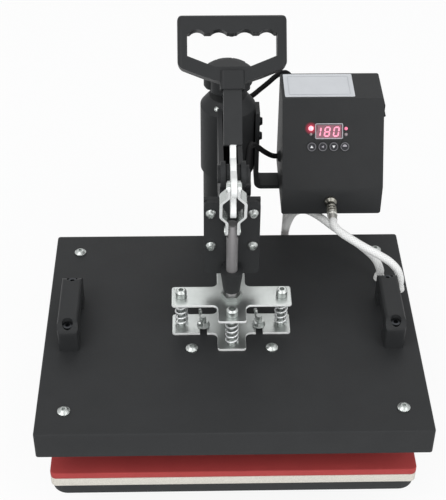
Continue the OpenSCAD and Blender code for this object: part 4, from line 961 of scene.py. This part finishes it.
class PRESS_OT_back_screws(bpy.types.Operator):
    """Pan-head screws in the corners of the control box's back, and the sleeve's grease screw"""

    bl_idname = "press.back_screws"
    bl_label = "Back screws"

    def execute(self, context):
        low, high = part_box("control_box_back")
        head = cylinder("back_screws", 28, 2.9 * MM, 1.8 * MM, (0, 0, 0.9 * MM))
        ease(head, 0.8 * MM, 3, upward)
        choose(head, "FACE", lambda way: way.z > 0.99)
        bpy.ops.mesh.inset(thickness=0.7 * MM, depth=-0.8 * MM)
        clear()
        edge = 7 * MM
        places = [Matrix.Translation((x, high.y, z)) @ Matrix.Rotation(-pi / 2, 4, "X")
                  for x in (low.x + edge, high.x - edge) for z in (low.z + edge, high.z - edge)]
        # One more sits on the sleeve's cone, turned to the front left.
        bearing, cone_in, cone_h = radians(240), 10, 13
        out = Vector((cos(bearing), sin(bearing), 0))
        spot = ram_point(0, 195, 322) + 25.6 * MM * out
        normal = (cone_h * out + Vector((0, 0, cone_in))).normalized()
        places.append(Matrix.Translation(spot) @ normal.to_track_quat("Z", "Y").to_matrix().to_4x4())
        screws = place_copies("back_screws", head, places)
        smooth(screws, 35)
        dress(screws, "arm", "zinc_steel", "zinc_steel")
        return {"FINISHED"}


class PRESS_OT_pressure_screw(bpy.types.Operator):
    """Threaded pressure screw under the star knob"""

    bl_idname = "press.pressure_screw"
    bl_label = "Pressure screw"

    def execute(self, context):
        low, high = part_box("pressure_screw")
        middle = (low + high) / 2
        radius, pitch, flank = (high.x - low.x) / 2, 1.75 * MM, 0.8 * MM
        core = cylinder("pressure_screw_core", 40, radius - flank, high.z - low.z, middle)
        ease(core, flank, 2, along_z)
        turns = int((high.z - low.z) / pitch) - 1
        thread = helix("pressure_screw_thread", 3, flank, radius - flank, turns, turns * pitch, steps=28)
        thread.data.transform(Matrix.Translation((middle.x, middle.y, low.z + pitch / 2)))
        screw = join("pressure_screw_rod", [core, thread])
        smooth(screw, 30)
        dress(screw, "knob", "zinc_steel", "zinc_steel", "pressure_screw")
        return {"FINISHED"}


# The fork's frame in part.scad: its foot is the pin in the ram, and it leans to the front at rest.
FORK = Matrix.Translation(ram_point(0, 0, 290)) @ Matrix.Rotation(radians(20.4), 4, "X")
FORK_LENGTH = 80.49
# Middle of a strap's thickness from foot to eye: distance from the axis and height.
STRAP_LINE = ((5.9, 0), (5.9, 23), (12.2, 33), (12.2, 58.5), (4.9, 69.5), (4.9, FORK_LENGTH))


def rounded(corners, radius, steps):
    """A line through corners, with its inner corners rounded."""
    corners = [Vector(c) for c in corners]
    line = [corners[0]]
    for a, b, c in zip(corners, corners[1:], corners[2:]):
        one, two = (a - b).normalized(), (c - b).normalized()
        half = one.angle(two) / 2
        middle = b + (one + two).normalized() * radius / sin(half)
        start, end = (b + way * radius / tan(half) - middle for way in (one, two))
        line += [middle + start.lerp(end, k / steps).normalized() * radius for k in range(steps + 1)]
    return line + [corners[-1]]


class PRESS_OT_straps(bpy.types.Operator):
    """Two bent straps of the fork between crank and ram"""

    bl_idname = "press.straps"
    bl_label = "Fork straps"

    def execute(self, context):
        foot, eye, thick = 5.5, 6.2, 3 * MM
        rows = [(p.x, p.y, foot + (eye - foot) * p.y / FORK_LENGTH)
                for p in rounded(STRAP_LINE, radius=8, steps=7)]
        ends = [radians(a) for a in (15, 30, 45, 60, 75, 86)]
        rows = [(rows[0][0], -foot * sin(a), foot * cos(a)) for a in reversed(ends)] + rows
        rows += [(rows[-1][0], FORK_LENGTH + eye * sin(a), eye * cos(a)) for a in ends]
        straps = []
        for side in (-1, 1):
            points = [Vector((side * x, y, z)) * MM for x, z, half in rows for y in (-half, half)]
            faces = [(2 * i, 2 * i + 1, 2 * i + 3, 2 * i + 2)[::side] for i in range(len(rows) - 1)]
            strap = mesh_piece("strap", points, faces)
            modify(strap, "SOLIDIFY", thickness=thick, offset=0.0, use_even_offset=True)
            modify(strap, "BEVEL", width=0.5 * MM, segments=2, limit_method="ANGLE",
                   angle_limit=SHARP)
            straps.append(strap)
        piece = join("bent_straps", straps)
        smooth(piece, 35)
        modify(piece, "WEIGHTED_NORMAL", keep_sharp=True)
        dress(piece, "fork", "zinc_steel", "polished_zinc", "fork_straps")
        # The sheared edges are duller and paler than the polished faces.
        recolour(piece, "blasted_steel", lambda face: abs(face.normal.y) > 0.5)
        piece.data.transform(FORK)
        return {"FINISHED"}


# Pieces with cut edges, and below them moulded and cast pieces with rounder ones.
CUT_NODES = (
    "arm_frame", "guide_plate", "box_bracket", "crank_plate", "cross_plate_top",
    "cross_plate_lower", "rail_left", "rail_right", "rear_crossbar", "column_flange")
# Painted beyond this, on the crank: the boss round the pivot and the plug in the stem.
CRANK_PAINT_X = 3.2 * MM
# Bare and plated flats with a rounder edge, as multiples of a cut edge's width.
WORN = {"crank_plate": 3, "cross_plate_top": 2.2, "cross_plate_lower": 2.2}
MOULDED_NODES = (
    "d_grip", "handle_left", "handle_right", "star_knob", "control_box_shell", "bed_plate",
    "guide_bush")


class PRESS_OT_edges(bpy.types.Operator):
    """Plates with broken edges and moulded pieces with rounded ones"""

    bl_idname = "press.edges"
    bl_label = "Edges"

    def execute(self, context):
        sizes = context.scene.press_sizes
        jobs = [(node, sizes.machined_edge, 2) for node in CUT_NODES]
        jobs += [(node, sizes.moulded_edge, 3) for node in MOULDED_NODES]
        for node, width, segments in jobs:
            bare = node == "crank_plate"
            piece = merged_copy(node, node + "_eased")
            modify(piece, "BEVEL", width=WORN.get(node, 1) * width, segments=segments,
                   limit_method="ANGLE", angle_limit=SHARP, use_clamp_overlap=True,
                   miter_outer="MITER_ARC")
            smooth(piece, 35)
            modify(piece, "WEIGHTED_NORMAL", keep_sharp=True)
            finish = "blasted_steel" if bare else SLOT_OF[node]
            dress(piece, BODY_OF[node], SLOT_OF[node], finish, node)
            if bare:
                recolour(piece, "black_paint", lambda face: abs(face.center.x) > CRANK_PAINT_X)
            elif node in WORN:
                # Sheared edges of the cross plates, paler than their faces.
                recolour(piece, "blasted_steel", lambda face: abs(face.normal.z) < 0.6)
        return {"FINISHED"}


# Screws of the bridge handles lie outside the first and within the second, from the ram's axis.
HANDLE_X, HANDLE_Y = 150 * MM, 80 * MM
# The bracket's screws lie behind this, and the plug's collar in front of this.
BRACKET_Y, COLLAR_Y = 100 * MM, 57.5 * MM


class PRESS_OT_screws(bpy.types.Operator):
    """Screws of platen and arm with some black ones, and the lead's plug with a bright collar"""

    bl_idname = "press.screws"
    bl_label = "Screws and plug"

    def execute(self, context):
        for node, name, finish, test in (
                ("cover_screws", "platen_screws", "black_oxide",
                 lambda face: abs(face.center.x) > HANDLE_X and abs(face.center.y - RAM_Y) < HANDLE_Y),
                ("arm_bolts", "arm_screws", "black_oxide", lambda face: face.center.y > BRACKET_Y),
                ("lead_plug", "plug_shell", "bright_nickel", lambda face: face.center.y < COLLAR_Y)):
            piece = merged_copy(node, name)
            smooth(piece, 35)
            dress(piece, BODY_OF[node], SLOT_OF[node], SLOT_OF[node], node)
            recolour(piece, finish, test)
        return {"FINISHED"}


class PRESS_OT_finishes(bpy.types.Operator):
    """Finishes of the CAD pieces that stay as they are"""

    bl_idname = "press.finishes"
    bl_label = "Finishes"

    def execute(self, context):
        for name, node in NODES.items():
            node.data.materials.clear()
            node.data.materials.append(FINISHES[SLOT_OF[name]])
        return {"FINISHED"}


OPERATORS = (
    PRESS_OT_stage, PRESS_OT_leads, PRESS_OT_pads, PRESS_OT_springs, PRESS_OT_cover, PRESS_OT_face,
    PRESS_OT_plate, PRESS_OT_back_screws, PRESS_OT_pressure_screw, PRESS_OT_straps, PRESS_OT_edges,
    PRESS_OT_screws, PRESS_OT_finishes)


class PRESS_PT_panel(bpy.types.Panel):
    """Lists the press's operators and settings"""

    bl_idname = "PRESS_PT_panel"
    bl_label = "Flat heat press"
    bl_space_type = "VIEW_3D"
    bl_region_type = "UI"
    bl_category = "Press"

    def draw(self, context):
        for operator in OPERATORS:
            self.layout.operator(operator.bl_idname)
        for key, kind in GROUPS.items():
            for name in kind.__annotations__:
                self.layout.prop(getattr(context.scene, key), name)


GROUPS = {"press_colours": PressColours, "press_sizes": PressSizes, "press_stage": PressStage}
CLASSES = (*GROUPS.values(), *OPERATORS, PRESS_PT_panel)


def register():
    for cls in CLASSES:
        bpy.utils.register_class(cls)
    for key, kind in GROUPS.items():
        setattr(bpy.types.Scene, key, PointerProperty(type=kind))


def unregister():
    for key in GROUPS:
        delattr(bpy.types.Scene, key)
    for cls in reversed(CLASSES):
        bpy.utils.unregister_class(cls)


def main():
    """Builds the looks in order."""
    register()
    make_finishes(bpy.context.scene.press_colours)
    for operator in OPERATORS:
        getattr(bpy.ops.press, operator.bl_idname.split(".")[1])()


if __name__ == "__main__":
    main()
